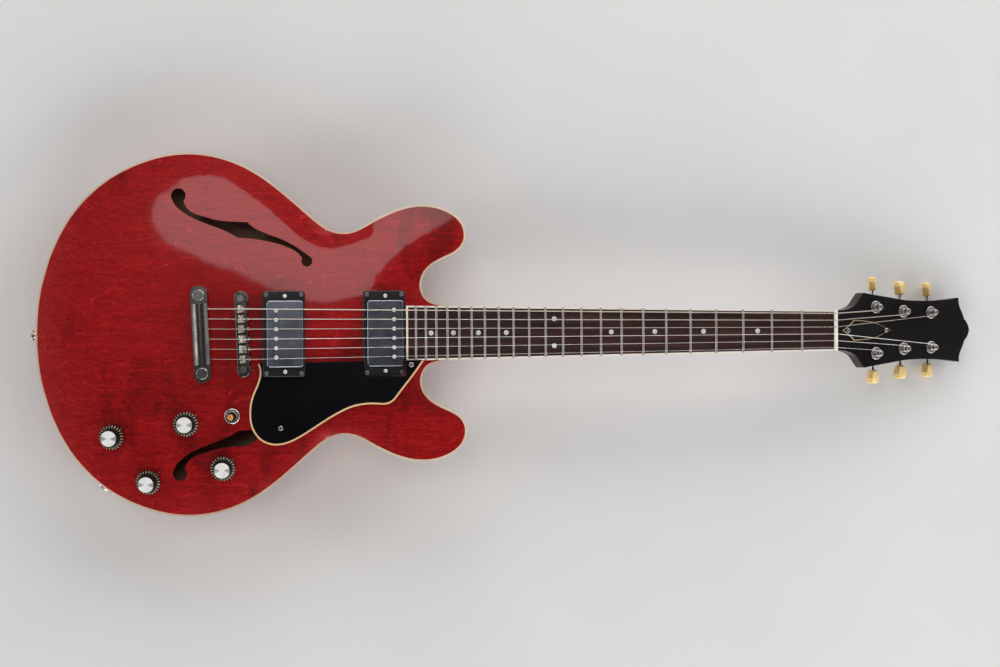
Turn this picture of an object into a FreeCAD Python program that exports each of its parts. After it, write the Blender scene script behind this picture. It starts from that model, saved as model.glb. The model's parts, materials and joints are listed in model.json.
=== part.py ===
import FreeCAD, Part
import math
import os

# A semi-hollow double-cutaway electric guitar with a set neck, lying on its back.
# Sizes are in millimetres. The pieces are drawn in a body frame whose X runs from the tail to
# the neck, Y to the bass side and Z up from the edge of the back; the last step lays the whole
# guitar down so that the back and the headstock's end rest on the ground.

# Body
body_length = 456.0
body_width = 385.0
rim_depth = 44.5
arch_height = 13.0
plate_thickness = 5.0
rim_thickness = 3.2
lining_width = 6.0
lining_height = 12.0
binding_width = 2.2
centre_block_width = 108.0
nose_setback = 22.0
nose_width = 58.0

# Scale, neck and fingerboard
scale_length = 628.65
bridge_line_to_tail = 224.8
board_plane_at_bridge = 70.3
neck_angle = 4.5
fret_count = 22
octave_frets = 12
nut_width = 43.6
board_end_width = 58.0
board_end_from_nut = 462.4
board_thickness = 5.8
board_radius = 305.0
board_binding = 1.7
board_binding_end = 2.0
fret_crown_width = 2.5
fret_crown_height = 1.1
fret_tang_width = 0.6
fret_tang_depth = 1.8
fret_end_setback = 0.35
dot_radius = 2.6
dot_thickness = 1.4
double_dot_spacing = 28.7
marker_frets = [3, 5, 7, 9, 15, 17, 19, 21]
neck_wood_at_nut = 14.8
neck_wood_at_heel = 17.6
heel_start_from_nut = 372.0
tenon_width = 40.0
tenon_length = 38.0
tenon_floor = 9.0
truss_rod_radius = 2.4
truss_channel_depth = 10.5
truss_nut_radius = 2.9
truss_nut_length = 8.0
truss_nut_from_nut = 12.0

# Nut and headstock
nut_length = 3.9
nut_rise = 2.0
nut_edge_round = 0.9
head_angle = 17.0
head_length = 174.8
head_width = 81.6
head_thickness = 14.0
veneer_thickness = 1.6
rod_pocket_length = 28.0
rod_pocket_start = 17.5
rod_pocket_width = 11.0
rod_pocket_depth = 10.0
rod_cover_length = 61.0
rod_cover_width = 20.8
rod_cover_start = 8.0
rod_cover_thickness = 1.5
rod_cover_edge = 0.8
rod_cover_edge_thickness = 0.7
rod_cover_screw_length = 3.6

# Strings, bass to treble
string_spread_nut = 36.8
string_spread_bridge = 52.6
string_diameters = [1.17, 0.91, 0.66, 0.43, 0.33, 0.254]
wound_strings = 3
string_height_nut = 1.55
string_height_bridge = 4.3
string_bend_radius = 5.0
string_end_length = 4.5
winding_turns = 2
winding_gap = 0.55
winding_start_height = 7.6
ball_end_radius = 1.9
ball_end_length = 3.6

# Tuning machines
post_from_nut = [50.4, 86.8, 123.2]
post_from_centre = [25.3, 20.55, 19.3]
post_radius = 3.0
post_rise = 9.0
post_hole_radius = 0.9
post_hole_share = 0.72
bushing_radius = 6.7
bushing_flange = 1.2
bushing_sleeve_radius = 4.6
housing_length = 25.0
housing_width = 15.0
housing_depth = 9.4
housing_wall = 1.2
housing_round = 2.4
worm_offset = 9.2
worm_radius = 3.1
worm_length = 9.0
worm_rib_count = 5
worm_rib_depth = 0.5
gear_radius = 5.7
gear_width = 3.4
gear_tooth_count = 14
gear_tooth_depth = 0.9
gear_screw_radius = 1.9
shaft_radius = 2.0
shaft_collar_radius = 2.9
shaft_collar_length = 2.2
button_from_post = 26.0
button_length = 15.0
button_width = 15.0
button_neck_width = 9.5
button_thickness = 8.6
button_round = 2.4
button_shoulder_share = 0.62
button_end_share = 0.86
button_shaft_share = 0.6
button_rolls = [60.0, 29.0, 46.0, 24.0, 12.0, 20.0]
running_clearance = 0.06
tuner_screw_radius = 1.3
tuner_screw_head_radius = 2.2
tuner_screw_length = 10.0

# Bridge
bridge_centre = 219.4
bridge_slant = 2.1
bridge_length = 90.0
bridge_body_width = 12.4
bridge_body_height = 8.4
bridge_end_round_share = 0.92
bridge_clear_under_strings = 3.2
bridge_channel_width = 8.6
bridge_channel_depth = 6.6
bridge_post_spacing = 74.5
bridge_post_radius = 2.0
bridge_post_head_radius = 3.6
bridge_post_head = 1.2
bridge_bushing_radius = 3.6
bridge_bushing_depth = 18.0
thumbwheel_radius = 7.5
thumbwheel_thickness = 3.0
thumbwheel_teeth = 28
saddle_width = 8.2
saddle_length = 7.6
saddle_compensation = [5.3, 4.3, 3.3, 4.1, 3.1, 2.3]
saddle_screw_radius = 1.2
saddle_screw_head_radius = 2.0
saddle_screw_head = 1.3

# Tailpiece
tailpiece_centre = 176.1
tailpiece_slant = 2.6
tailpiece_stud_spacing = 81.8
tailpiece_length = 102.0
tailpiece_width = 17.4
tailpiece_height = 12.6
tailpiece_clearance = 2.4
tailpiece_neck_length = 64.0
tailpiece_ear_thickness = 6.0
tailpiece_ear_base_share = 0.2
tailpiece_ear_round_share = 0.95
stud_radius = 3.6
stud_head_radius = 6.1
stud_head = 3.6
stud_slot_width = 2.1
stud_slot_headings = [90, 15]
stud_neck_radius = 3.9
stud_bushing_radius = 6.0
stud_bushing_depth = 20.0
slot_width = 1.3
slot_depth = 1.1

# Pickups
pickup_places = [263.9, 368.6]
pickup_pole_sides = [-1, 1]
pickup_below_strings = [3.6, 3.4]
ring_length = 44.2
ring_width = 90.0
ring_corner = 3.0
ring_above_top = [7.5, 4.4]
ring_shift = -1.2
ring_edge_round = 1.2
cover_length = 38.1
cover_width = 70.0
cover_corner = 3.2
cover_top_round = 1.3
cover_depth = 18.0
cover_wall = 0.7
cover_clearance = 0.7
route_clearance = 2.0
route_depth = 30.0
pole_spacing = 9.85
pole_offset = 9.2
pole_head_radius = 2.1
pole_head_rise = 0.5
pole_shank_radius = 1.5
pole_length = 20.0
pole_headings = [20.0, 140.0, 55.0, 120.0, 35.0, 155.0]
pole_slot_width = 1.0
bobbin_clearance = 0.5
baseplate_thickness = 1.2
leg_reach = 6.0
leg_width = 10.0
height_screw_radius = 1.4
height_screw_head_radius = 2.0
height_screw_inset = 5.4
ring_screw_radius = 1.2
ring_screw_head_radius = 2.3
ring_screw_head = 1.3
ring_screw_inset = 3.8
ring_screw_length = 14.0

# Controls
knob_places = [(81.0, -107.1), (159.0, -94.0), (118.7, -154.7), (196.9, -140.8)]
knob_skirt_radius = 13.2
knob_skirt_height = 4.4
knob_skirt_edge_share = 0.45
knob_barrel_radius = 9.8
knob_top_radius = 8.9
knob_height = 15.0
knob_seat = 1.6
knob_rib_count = 24
knob_rib_radius = 0.95
knob_recess_radius = 8.0
knob_recess_depth = 4.2
knob_cap_radius = 8.2
knob_cap_thickness = 0.7
pot_shaft_radius = 3.0
pot_bushing_radius = 4.7
pot_bushing_rise = 3.6
pot_body_radius = 12.0
pot_body_depth = 10.0
pot_nut_radius = 6.6
pot_nut_height = 2.2
pointer_thickness = 0.8
pointer_plate_radius = 7.4
pointer_reach = 16.2
pointer_width = 4.6
pointer_heading = 43.0
hole_clearance = 0.2
switch_place = (207.3, -86.0)
switch_nut_radius = 8.0
switch_nut_height = 2.6
switch_collar_radius = 5.4
switch_collar_height = 6.0
switch_frame_length = 32.0
switch_frame_width = 12.0
switch_frame_depth = 22.0
switch_lever_radius = 1.6
switch_lever_rise = 10.0
switch_lever_tail = 9.0
switch_cone_radius = 3.9
switch_tip_radius = 3.3
switch_tip_length = 9.5
switch_tip_base_share = 0.55
switch_tip_cone_share = 0.7
switch_throw = 9.0
switch_pin_radius = 0.8
switch_pin_length = 6.8

# Output jack and strap buttons
jack_from_tail = 67.4
jack_plate_length = 30.0
jack_plate_height = 24.0
jack_plate_thickness = 1.6
jack_plate_round = 4.0
jack_bore_radius = 3.2
jack_bushing_radius = 4.7
jack_nut_radius = 7.2
jack_nut_height = 2.4
jack_barrel_radius = 7.6
jack_barrel_length = 20.0
jack_bore_length = 22.0
jack_screw_spacing = 22.0
strap_button_radius = 5.6
strap_button_base_radius = 5.04
strap_button_waist = 3.4
strap_button_height = 8.6
strap_button_flange = 2.2
strap_button_heel_from_nose = 12.0
wood_screw_radius = 1.8
wood_screw_length = 22.0
heel_screw_length = 14.0
strap_screw_head_radius = 2.56

# Pickguard
guard_height = 59.0
guard_thickness = 2.2
guard_edge = 1.8
guard_gap_to_rings = 0.25
guard_screw_radius = 1.3
guard_screw_head_radius = 2.5
guard_screw_length = 12.0
guard_standoff_radius = 4.0
guard_screw_places = [(258.3, -99.0), (395.7, -33.2)]

# Outlines, as shares of the sizes that they follow
# half of the body: along the body length, and across half of the width
body_outline_shares = [
    (0.0000, 0.0), (0.0059, 0.1940), (0.0243, 0.3785), (0.0612, 0.5820), (0.1164, 0.7555),
    (0.1717, 0.8640), (0.2454, 0.9505), (0.3190, 0.9943), (0.3560, 0.9995), (0.4300, 0.9740),
    (0.5042, 0.8990), (0.5783, 0.7695), (0.6340, 0.6540), (0.6710, 0.5860), (0.6896, 0.5662),
    (0.7082, 0.5580), (0.7267, 0.5615), (0.7453, 0.5766), (0.7825, 0.6245), (0.8197, 0.6675),
    (0.8572, 0.6975), (0.8948, 0.7074), (0.9323, 0.6952), (0.9655, 0.6600), (0.9868, 0.6110),
    (0.9955, 0.5500), (0.9936, 0.5055), (0.9821, 0.4615), (0.9520, 0.4175), (0.9172, 0.3735),
    (0.8996, 0.3295), (0.8926, 0.2855), (0.8931, 0.2390), (0.9013, 0.1975), (0.9167, 0.1720),
    (0.9350, 0.1570)]
# a sound hole, by its two edges from the wide end to the narrow end
sound_hole_outer_shares = [
    (0.3454, 0.7325), (0.3560, 0.6830), (0.3912, 0.6445), (0.4263, 0.6230), (0.4616, 0.6145),
    (0.4921, 0.6120), (0.5039, 0.5860), (0.5305, 0.5540), (0.5656, 0.5220), (0.6009, 0.4795),
    (0.6230, 0.4427), (0.6360, 0.4215)]
sound_hole_inner_shares = [
    (0.3173, 0.7548), (0.3243, 0.7122), (0.3419, 0.6706), (0.3732, 0.6281), (0.4086, 0.5943),
    (0.4368, 0.5688), (0.4579, 0.5434), (0.4702, 0.5247), (0.4950, 0.5231), (0.5259, 0.5122),
    (0.5568, 0.4961), (0.5831, 0.4748), (0.6009, 0.4530), (0.6170, 0.4145)]
sound_hole_outer_nick = 5
sound_hole_inner_nick = 7
sound_hole_wide_share = (0.3331, 0.7600)
sound_hole_wide_radius = 7.7
sound_hole_narrow_share = (0.6281, 0.3974)
sound_hole_narrow_radius = 5.7
# where the rim is divided into strips: along the body, and across half of its width beyond that
rim_joint_shares = [0.0243, 0.112, 0.184, 0.33, 0.50, 0.64, 0.78, 0.885]
cutaway_joint_shares = [0.549, 0.4175, 0.3295, 0.239]
# half of the headstock: along its length from the nut, and across half of its width
head_flare_shares = [(0.0, 0.5343), (0.064, 0.5466), (0.1010, 0.5882), (0.1400, 0.6814),
                     (0.1664, 0.8113), (0.2022, 1.0)]
head_side_shares = [(0.2022, 1.0), (0.2940, 0.9387), (0.4030, 0.8725), (0.4994, 0.8137),
                    (0.5976, 0.7917), (0.6992, 0.7892), (0.8019, 0.8137), (0.9217, 0.8775)]
head_wing_shares = [(0.9217, 0.8775), (0.9353, 0.5588), (0.9557, 0.3824), (0.9625, 0.2941)]
head_tip_shares = [(0.9625, 0.2941), (0.9864, 0.1716), (1.0, 0.0)]
# half of the truss rod cover
rod_cover_nose_shares = [(0.0, 0.0), (0.115, 0.42), (0.233, 1.0)]
rod_cover_side_shares = [(0.233, 1.0), (0.439, 0.93), (0.687, 0.69), (0.895, 0.23), (1.0, 0.0)]
rod_cover_screw_shares = [0.09, 0.895]
# the pickguard, along the body length and across half of the width
guard_end_shares = [(0.5150, -0.1620), (0.5193, -0.2062), (0.5129, -0.2758), (0.5018, -0.3366),
                    (0.4952, -0.4151), (0.4961, -0.4753), (0.5048, -0.5366), (0.5268, -0.5896),
                    (0.5561, -0.6073), (0.5853, -0.5948), (0.6149, -0.5605), (0.6662, -0.4831),
                    (0.7031, -0.4317), (0.7325, -0.4016), (0.7583, -0.3891), (0.7840, -0.3870),
                    (0.8134, -0.3860), (0.8244, -0.3730), (0.8390, -0.3335), (0.8689, -0.2431),
                    (0.8965, -0.1517)]
# the neck's wood behind the heel's start: from the nut, and the wood's depth
heel_from_nut_shares = [(1.0, 1.0), (1.055, 1.16), (1.09, 1.55), (1.115, 2.15), (1.130, 2.62),
                        (1.165, 2.72)]
# the tailpiece's section, across half of its width and up its height, from its front foot
tailpiece_profile_shares = [(-1.0, 0.22), (-1.0, 0.55), (0.78, 0.78), (1.0, 0.66), (1.0, 0.22),
                            (0.6, 0.0), (-0.6, 0.0)]
tailpiece_crown_share = -0.2
neck_round_share = 0.86
arch_edge_share = 0.55

# How finely the shapes are worked out, and how far a cutting shape runs past what it cuts
arch_grid_x = 46
arch_grid_y = 40
arch_sweeps = 260
arch_sweep_share = 1.7
outline_samples = 184
jack_samples = 276
winding_samples = 72
lie_rounds = 20
report_digits = 6
upright_share = 0.9
overrun = 3.0

Vec = FreeCAD.Vector
Place = FreeCAD.Placement
Turn = FreeCAD.Rotation
X_DIR = Vec(1, 0, 0)
Y_DIR = Vec(0, 1, 0)
Z_DIR = Vec(0, 0, 1)
half_width = body_width / 2
nodes = {}


def box(x0, x1, y0, y1, z0, z1):
    return Part.makeBox(x1 - x0, y1 - y0, z1 - z0, Vec(x0, y0, z0))


def rod(start, end, radius):
    return Part.makeCylinder(radius, (end - start).Length, start, end - start)


def upright(x, y, z0, z1, radius):
    return Part.makeCylinder(radius, z1 - z0, Vec(x, y, z0))


def placed(shape, place):
    copy = shape.copy()
    copy.Placement = place.multiply(copy.Placement)
    return copy


def mirrored(shape):
    return shape.mirror(Vec(0, 0, 0), Y_DIR)


def joined(shapes):
    whole = shapes[0]
    if len(shapes) > 1:
        whole = whole.multiFuse(shapes[1:])
    return whole.removeSplitter()


def prism(wire, z0, z1):
    face = Part.Face(wire)
    face.translate(Vec(0, 0, z0))
    return face.extrude(Vec(0, 0, z1 - z0))


def spline(points, first=None, last=None):
    curve = Part.BSplineCurve()
    if first is not None and last is not None:
        curve.interpolate(Points=points, InitialTangent=first, FinalTangent=last)
    else:
        curve.interpolate(Points=points)
    return curve


def rounded_box(x0, x1, y0, y1, z0, z1, corner, top_round=0.0):
    solid = box(x0, x1, y0, y1, z0, z1)
    upright_edges = [e for e in solid.Edges
                     if abs(e.tangentAt(e.FirstParameter).z) > upright_share]
    solid = solid.makeFillet(corner, upright_edges)
    if top_round > 0:
        top_edges = [e for e in solid.Edges if e.BoundBox.ZMin > (z0 + z1) / 2]
        solid = solid.makeFillet(top_round, top_edges)
    return solid


def screw(head_radius, head, shank_radius, length, slot):
    """A slotted screw with its head's underside at the origin, pointing down."""
    dome = Part.makeCylinder(head_radius, head)
    dome = dome.makeFillet(head / 2, [dome.Edges[0]])
    dome = dome.cut(box(-head_radius, head_radius, -slot / 2, slot / 2, head / 2, head + overrun))
    return joined([dome, Part.makeCylinder(shank_radius, length, Vec(0, 0, -length))])


# Body outline and its offsets
half_points = [Vec(body_length * sx, half_width * sy, 0) for sx, sy in body_outline_shares]
nose_x = body_length - nose_setback
half_points.append(Vec(nose_x, nose_width / 2, 0))
outline_curve = spline(half_points, Y_DIR, X_DIR)


def outline_wire(inset):
    """The closed body outline, moved inward."""
    points = []
    for point in half_points:
        parameter = outline_curve.parameter(point)
        tangent = outline_curve.tangent(parameter)[0]
        inward = Vec(tangent.y, -tangent.x, 0)
        points.append(point + inward * inset)
    points[0] = Vec(inset, 0, 0)
    points[-1] = Vec(nose_x, points[-1].y, 0)
    upper = spline(points, Y_DIR, X_DIR).toShape()
    lower = mirrored(upper)
    nose = Part.makeLine(points[-1], Vec(nose_x, -points[-1].y, 0))
    return Part.Wire(Part.__sortEdges__([upper, nose, lower]))


def body_prism(inset, z0, z1, nose_inset=0.0):
    solid = prism(outline_wire(inset), z0, z1)
    if nose_inset > 0:
        solid = solid.common(box(-overrun, nose_x - nose_inset, -nose_width, nose_width,
                                 z0 - overrun, z1 + overrun).fuse(
            box(-overrun, body_length + overrun, nose_width / 2, half_width + overrun,
                z0 - overrun, z1 + overrun)).fuse(
            box(-overrun, body_length + overrun, -half_width - overrun, -nose_width / 2,
                z0 - overrun, z1 + overrun)))
    return solid


# The arch is the shape of a membrane that is held at the outline and blown up, with a flat edge
def membrane():
    samples = outline_curve.discretize(Number=outline_samples)
    ring = [(p.x, p.y) for p in samples] + [(p.x, -p.y) for p in reversed(samples)]
    step_x = (body_length + 2 * overrun) / (arch_grid_x - 1)
    step_y = (body_width + 2 * overrun) / (arch_grid_y - 1)
    xs = [-overrun + step_x * i for i in range(arch_grid_x)]
    ys = [-half_width - overrun + step_y * j for j in range(arch_grid_y)]

    def inside(x, y):
        within = False
        previous = ring[-1]
        for current in ring:
            if (current[1] > y) != (previous[1] > y):
                slope = (previous[0] - current[0]) / (previous[1] - current[1])
                if x < current[0] + slope * (y - current[1]):
                    within = not within
            previous = current
        return within

    held = [[not inside(x, y) for y in ys] for x in xs]
    rise = [[0.0] * arch_grid_y for _ in xs]
    wx = 1 / step_x ** 2
    wy = 1 / step_y ** 2
    for _ in range(arch_sweeps):
        for i in range(1, arch_grid_x - 1):
            for j in range(1, arch_grid_y - 1):
                if not held[i][j]:
                    pull = (rise[i - 1][j] + rise[i + 1][j]) * wx
                    pull += (rise[i][j - 1] + rise[i][j + 1]) * wy
                    target = (pull + 1) / (2 * (wx + wy))
                    rise[i][j] += arch_sweep_share * (target - rise[i][j])
    peak = max(max(row) for row in rise)
    shape = []
    for row in rise:
        levels = [max(value, 0.0) / peak for value in row]
        powered = [level ** arch_edge_share for level in levels]
        shape.append([arch_height * u * u * (3 - 2 * u) for u in powered])
    return xs, ys, shape


arch_xs, arch_ys, arch_rise = membrane()


def arch_at(x, y):
    """The arch's height over the edge, between the grid's points."""
    step_x = arch_xs[1] - arch_xs[0]
    step_y = arch_ys[1] - arch_ys[0]
    i = min(max(int((x - arch_xs[0]) / step_x), 0), arch_grid_x - 2)
    j = min(max(int((y - arch_ys[0]) / step_y), 0), arch_grid_y - 2)
    u = (x - arch_xs[i]) / step_x
    v = (y - arch_ys[j]) / step_y
    near = arch_rise[i][j] * (1 - v) + arch_rise[i][j + 1] * v
    far = arch_rise[i + 1][j] * (1 - v) + arch_rise[i + 1][j + 1] * v
    return near * (1 - u) + far * u


def arch_face(base, direction):
    surface = Part.BSplineSurface()
    grid = [[Vec(x, y, base + direction * arch_rise[i][j]) for j, y in enumerate(arch_ys)]
            for i, x in enumerate(arch_xs)]
    surface.interpolate(grid)
    return surface.toShape()


top_face = arch_face(rim_depth, 1)
back_face = arch_face(0, -1)
below_top = top_face.extrude(Vec(0, 0, -rim_depth))
below_top_inner = top_face.translated(Vec(0, 0, -plate_thickness)).extrude(Vec(0, 0, -rim_depth))
above_back_inner = back_face.translated(Vec(0, 0, plate_thickness)).extrude(Vec(0, 0, rim_depth))


def seat(x, y):
    """The place on the top at x and y, with Z along the surface's normal."""
    reach = arch_xs[1] - arch_xs[0]
    slope_x = (arch_at(x + reach, y) - arch_at(x - reach, y)) / (2 * reach)
    slope_y = (arch_at(x, y + reach) - arch_at(x, y - reach)) / (2 * reach)
    normal = Vec(-slope_x, -slope_y, 1)
    return Place(Vec(x, y, rim_depth + arch_at(x, y)), Turn(Z_DIR, normal))


# Neck frame: origin on the fingerboard's plane at the nut's face, X to the headstock
lean = math.radians(neck_angle)
nut_x = bridge_line_to_tail + scale_length * math.cos(lean)
nut_z = board_plane_at_bridge - scale_length * math.sin(lean)
neck_place = Place(Vec(nut_x, 0, nut_z), Turn(Y_DIR, neck_angle))
head_place = neck_place.multiply(
    Place(Vec(nut_length, 0, -board_thickness), Turn(Y_DIR, head_angle)))


def in_neck(shape):
    return placed(shape, neck_place)


def in_head(shape):
    return placed(shape, head_place)


def board_half_width(x):
    """Half of the fingerboard's width at x from the nut, which is below zero on the board."""
    return (nut_width - (board_end_width - nut_width) * x / board_end_from_nut) / 2


def fret_place(number):
    return -scale_length * (1 - 2 ** (-number / octave_frets))


def board_prism(inset, end_inset, z0, z1):
    end = -board_end_from_nut + end_inset
    wide = board_half_width(end) - inset
    narrow = board_half_width(0) - inset
    wire = Part.makePolygon([Vec(end, -wide, 0), Vec(end, wide, 0), Vec(0, narrow, 0),
                             Vec(0, -narrow, 0), Vec(end, -wide, 0)])
    return prism(wire, z0, z1)


crown_axis = Vec(0, 0, -board_radius)
board_drum = Part.makeCylinder(board_radius, board_end_from_nut + 2 * overrun,
                               crown_axis - X_DIR * (board_end_from_nut + overrun), X_DIR)


def fret(number):
    x = fret_place(number)
    half = fret_crown_width / 2
    tang = fret_tang_width / 2
    crown = Part.Arc(Vec(x - half, 0, 0), Vec(x, 0, fret_crown_height), Vec(x + half, 0, 0))
    below = Part.makePolygon([Vec(x + half, 0, 0), Vec(x + tang, 0, 0),
                              Vec(x + tang, 0, -fret_tang_depth),
                              Vec(x - tang, 0, -fret_tang_depth), Vec(x - tang, 0, 0),
                              Vec(x - half, 0, 0)])
    profile = Part.Face(Part.Wire([crown.toShape()] + below.Edges))
    reach = board_half_width(x) - fret_end_setback
    angle = math.degrees(math.asin(reach / board_radius))
    profile.rotate(crown_axis, X_DIR, -angle)
    return profile.revolve(crown_axis, X_DIR, 2 * angle)


frets = [fret(number + 1) for number in range(fret_count)]
fret_pieces = Part.makeCompound(frets)


def dot(x, y):
    return upright(x, y, -dot_thickness, overrun, dot_radius).common(board_drum)


dots = []
for number in marker_frets:
    dots.append(dot((fret_place(number) + fret_place(number - 1)) / 2, 0))
octave_x = (fret_place(octave_frets) + fret_place(octave_frets - 1)) / 2
for side in (-1, 1):
    dots.append(dot(octave_x, side * double_dot_spacing / 2))
dot_pieces = Part.makeCompound(dots)

board_inner = board_prism(board_binding, board_binding_end, -board_thickness, overrun)
board_outer = board_prism(0, 0, -board_thickness, overrun)
board_body = board_inner.common(board_drum).cut(fret_pieces).cut(dot_pieces)
board_edge = board_outer.cut(board_inner).common(board_drum).cut(fret_pieces)
nodes["fingerboard"] = in_neck(board_body)
nodes["fingerboard_binding"] = in_neck(board_edge)
nodes["frets"] = in_neck(fret_pieces)
nodes["position_markers"] = in_neck(dot_pieces)


# Neck wood: a lofted shaft and heel, a tenon in the body and the headstock, in one piece
def neck_section(x, depth):
    half = board_half_width(x)
    top = -board_thickness
    low = Vec(x, 0, top - depth)
    side = neck_round_share
    left = Part.BSplineCurve()
    left.interpolate(Points=[Vec(x, half, top), Vec(x, half * side, top - depth * (1 - side) * 2),
                             Vec(x, half * side / 2, top - depth * side),
                             low, Vec(x, -half * side / 2, top - depth * side),
                             Vec(x, -half * side, top - depth * (1 - side) * 2),
                             Vec(x, -half, top)])
    return Part.Wire([Part.makeLine(Vec(x, -half, top), Vec(x, half, top)), left.toShape()])


def neck_depth(x):
    share = min(-x / heel_start_from_nut, 1)
    return neck_wood_at_nut + (neck_wood_at_heel - neck_wood_at_nut) * max(share, 0)


shaft_sections = [neck_section(nut_length + overrun, neck_wood_at_nut)]
shaft_steps = 4
for step in range(shaft_steps):
    x = -heel_start_from_nut * step / shaft_steps
    shaft_sections.append(neck_section(x, neck_depth(x)))
for along, deep in heel_from_nut_shares:
    shaft_sections.append(neck_section(-heel_start_from_nut * along, neck_wood_at_heel * deep))
shaft = in_neck(Part.makeLoft(shaft_sections, True, False))
above_head = in_head(box(0, head_length, -head_width, head_width, 0, head_length / 2))
shaft = shaft.cut(above_head)
shaft = shaft.cut(box(0, nose_x, -nose_width, nose_width, -rim_depth, 2 * rim_depth))
board_space = in_neck(board_prism(0, 0, -board_thickness, rim_depth))
tenon = box(nose_x - tenon_length, nose_x, -tenon_width / 2, tenon_width / 2, tenon_floor,
            2 * rim_depth).cut(board_space)
under_board = in_neck(board_prism(0, 0, -board_thickness - rim_depth, -board_thickness))
tenon = tenon.common(under_board)
tongue = under_board.common(box(0, nose_x, -nose_width, nose_width, 0, 2 * rim_depth))
tongue = tongue.cut(below_top)


def head_wire(inset_tip=0.0):
    def at(shares):
        return [Vec(head_length * sx, head_width / 2 * sy, 0) for sx, sy in shares]
    upper = [spline(at(head_flare_shares)).toShape(), spline(at(head_side_shares)).toShape(),
             spline(at(head_wing_shares)).toShape(),
             spline(at(head_tip_shares)).toShape()]
    lower = [mirrored(edge) for edge in upper]
    start = Part.makeLine(Vec(0, -upper[0].Vertexes[0].Y, 0), upper[0].Vertexes[0].Point)
    return Part.Wire(Part.__sortEdges__(upper + lower + [start]))


head_wood = in_head(prism(head_wire(), -head_thickness, 0))
head_wood = head_wood.cut(in_neck(box(-overrun, nut_length, -nut_width, nut_width,
                                      -board_thickness, board_thickness)))
neck_wood = shaft.multiFuse([tenon, head_wood] + tongue.Solids)
rod_channel = in_neck(box(-board_end_from_nut + tenon_length, nut_length + overrun,
                          -truss_rod_radius, truss_rod_radius,
                          -board_thickness - truss_channel_depth, -board_thickness))
rod_end = rod_pocket_start + rod_pocket_length
rod_pocket = in_head(rounded_box(rod_pocket_start, rod_end, -rod_pocket_width / 2,
                                 rod_pocket_width / 2, -rod_pocket_depth, overrun,
                                 rod_pocket_width / 3))
rod_z = -board_thickness - truss_channel_depth + truss_rod_radius
rod_nut_start = nut_length + truss_nut_from_nut
rod_line = [Vec(-board_end_from_nut + tenon_length + truss_rod_radius, 0, rod_z),
            Vec(rod_nut_start + truss_nut_length, 0, rod_z)]
rod_space = in_neck(rod(rod_line[0], rod_line[1], truss_rod_radius))
nut_space = in_neck(rod(Vec(rod_nut_start, 0, rod_z), Vec(rod_line[1].x, 0, rod_z),
                        truss_nut_radius + running_clearance))
posts = []
for index in range(len(post_from_nut)):
    for side in (1, -1):
        posts.append((index, side, post_from_nut[index], side * post_from_centre[index]))
post_holes = [in_head(upright(x, y, -head_thickness - overrun, veneer_thickness + overrun,
                              bushing_sleeve_radius)) for _, _, x, y in posts]
neck_wood = neck_wood.cut(rod_channel).cut(rod_pocket).cut(rod_space).cut(nut_space)
for hole in post_holes:
    neck_wood = neck_wood.cut(hole)
veneer = in_head(prism(head_wire(), 0, veneer_thickness)).cut(rod_pocket)
veneer = veneer.cut(in_neck(box(-overrun, nut_length, -nut_width, nut_width,
                                -board_thickness, board_thickness)))
for hole in post_holes:
    veneer = veneer.cut(hole)
nodes["headstock_veneer"] = veneer
truss_rod = in_neck(rod(rod_line[0], rod_line[1], truss_rod_radius - running_clearance))
truss_nut = in_neck(rod(Vec(rod_nut_start, 0, rod_z), rod_line[1], truss_nut_radius))
nodes["truss_rod"] = Part.makeCompound([truss_rod.cut(truss_nut), truss_nut])


# Truss rod cover on the headstock's face
def rod_cover_wire(grow):
    length = rod_cover_length + 2 * grow
    half = rod_cover_width / 2 + grow
    start = rod_cover_start - grow

    def at(shares):
        return [Vec(start + length * sx, half * sy, 0) for sx, sy in shares]
    upper = [spline(at(rod_cover_nose_shares)).toShape(),
             spline(at(rod_cover_side_shares)).toShape()]
    return Part.Wire(Part.__sortEdges__(upper + [mirrored(edge) for edge in upper]))


cover_base = veneer_thickness + rod_cover_edge_thickness
cover_top = veneer_thickness + rod_cover_thickness
cover_screws = []
for share in rod_cover_screw_shares:
    piece = screw(ring_screw_head_radius, ring_screw_head, ring_screw_radius,
                  rod_cover_screw_length, slot_width / 2)
    cover_screws.append(in_head(placed(piece, Place(Vec(
        rod_cover_start + rod_cover_length * share, 0, cover_top), Turn()))))
rod_cover = in_head(prism(rod_cover_wire(0), cover_base, cover_top))
rod_cover_rim = in_head(prism(rod_cover_wire(rod_cover_edge), veneer_thickness, cover_base))
for piece in cover_screws:
    rod_cover = rod_cover.cut(piece)
    rod_cover_rim = rod_cover_rim.cut(piece)
    nodes["headstock_veneer"] = nodes["headstock_veneer"].cut(piece)
    neck_wood = neck_wood.cut(piece)
nodes["truss_rod_cover"] = rod_cover


# Strings: the line that each one follows, as straight runs with bends, then turns on its post
string_count = len(string_diameters)


def string_side(index, spread):
    return spread / 2 - spread * index / (string_count - 1)


def bend(corner, before, after, radius):
    """The two ends and the middle of an arc that rounds a corner."""
    inward = (before - corner).normalize()
    outward = (after - corner).normalize()
    half = inward.getAngle(outward) / 2
    reach = radius / math.tan(half)
    start = corner + inward * reach
    end = corner + outward * reach
    weight = math.sin(half)
    middle = (start + corner * (2 * weight) + end) * (1 / (2 * (1 + weight)))
    return start, middle, end


def biarc(start, heading, end, final):
    """Two arcs that meet smoothly, from start along heading to end along final."""
    chord = end - start
    spread = 2 * (1 - heading.dot(final))
    along = chord.dot(heading + final)
    reach = (math.sqrt(along ** 2 + spread * chord.dot(chord)) - along) / spread
    first = start + heading * reach
    last = end - final * reach
    meet = (first + last) / 2
    arcs = []
    for a, corner, b in ((start, first, meet), (meet, last, end)):
        weight = (b - a).Length / 2 / (corner - a).Length
        middle = (a + corner * (2 * weight) + b) * (1 / (2 * (1 + weight)))
        arcs.append(Part.Arc(a, middle, b).toShape())
    return arcs


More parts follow.
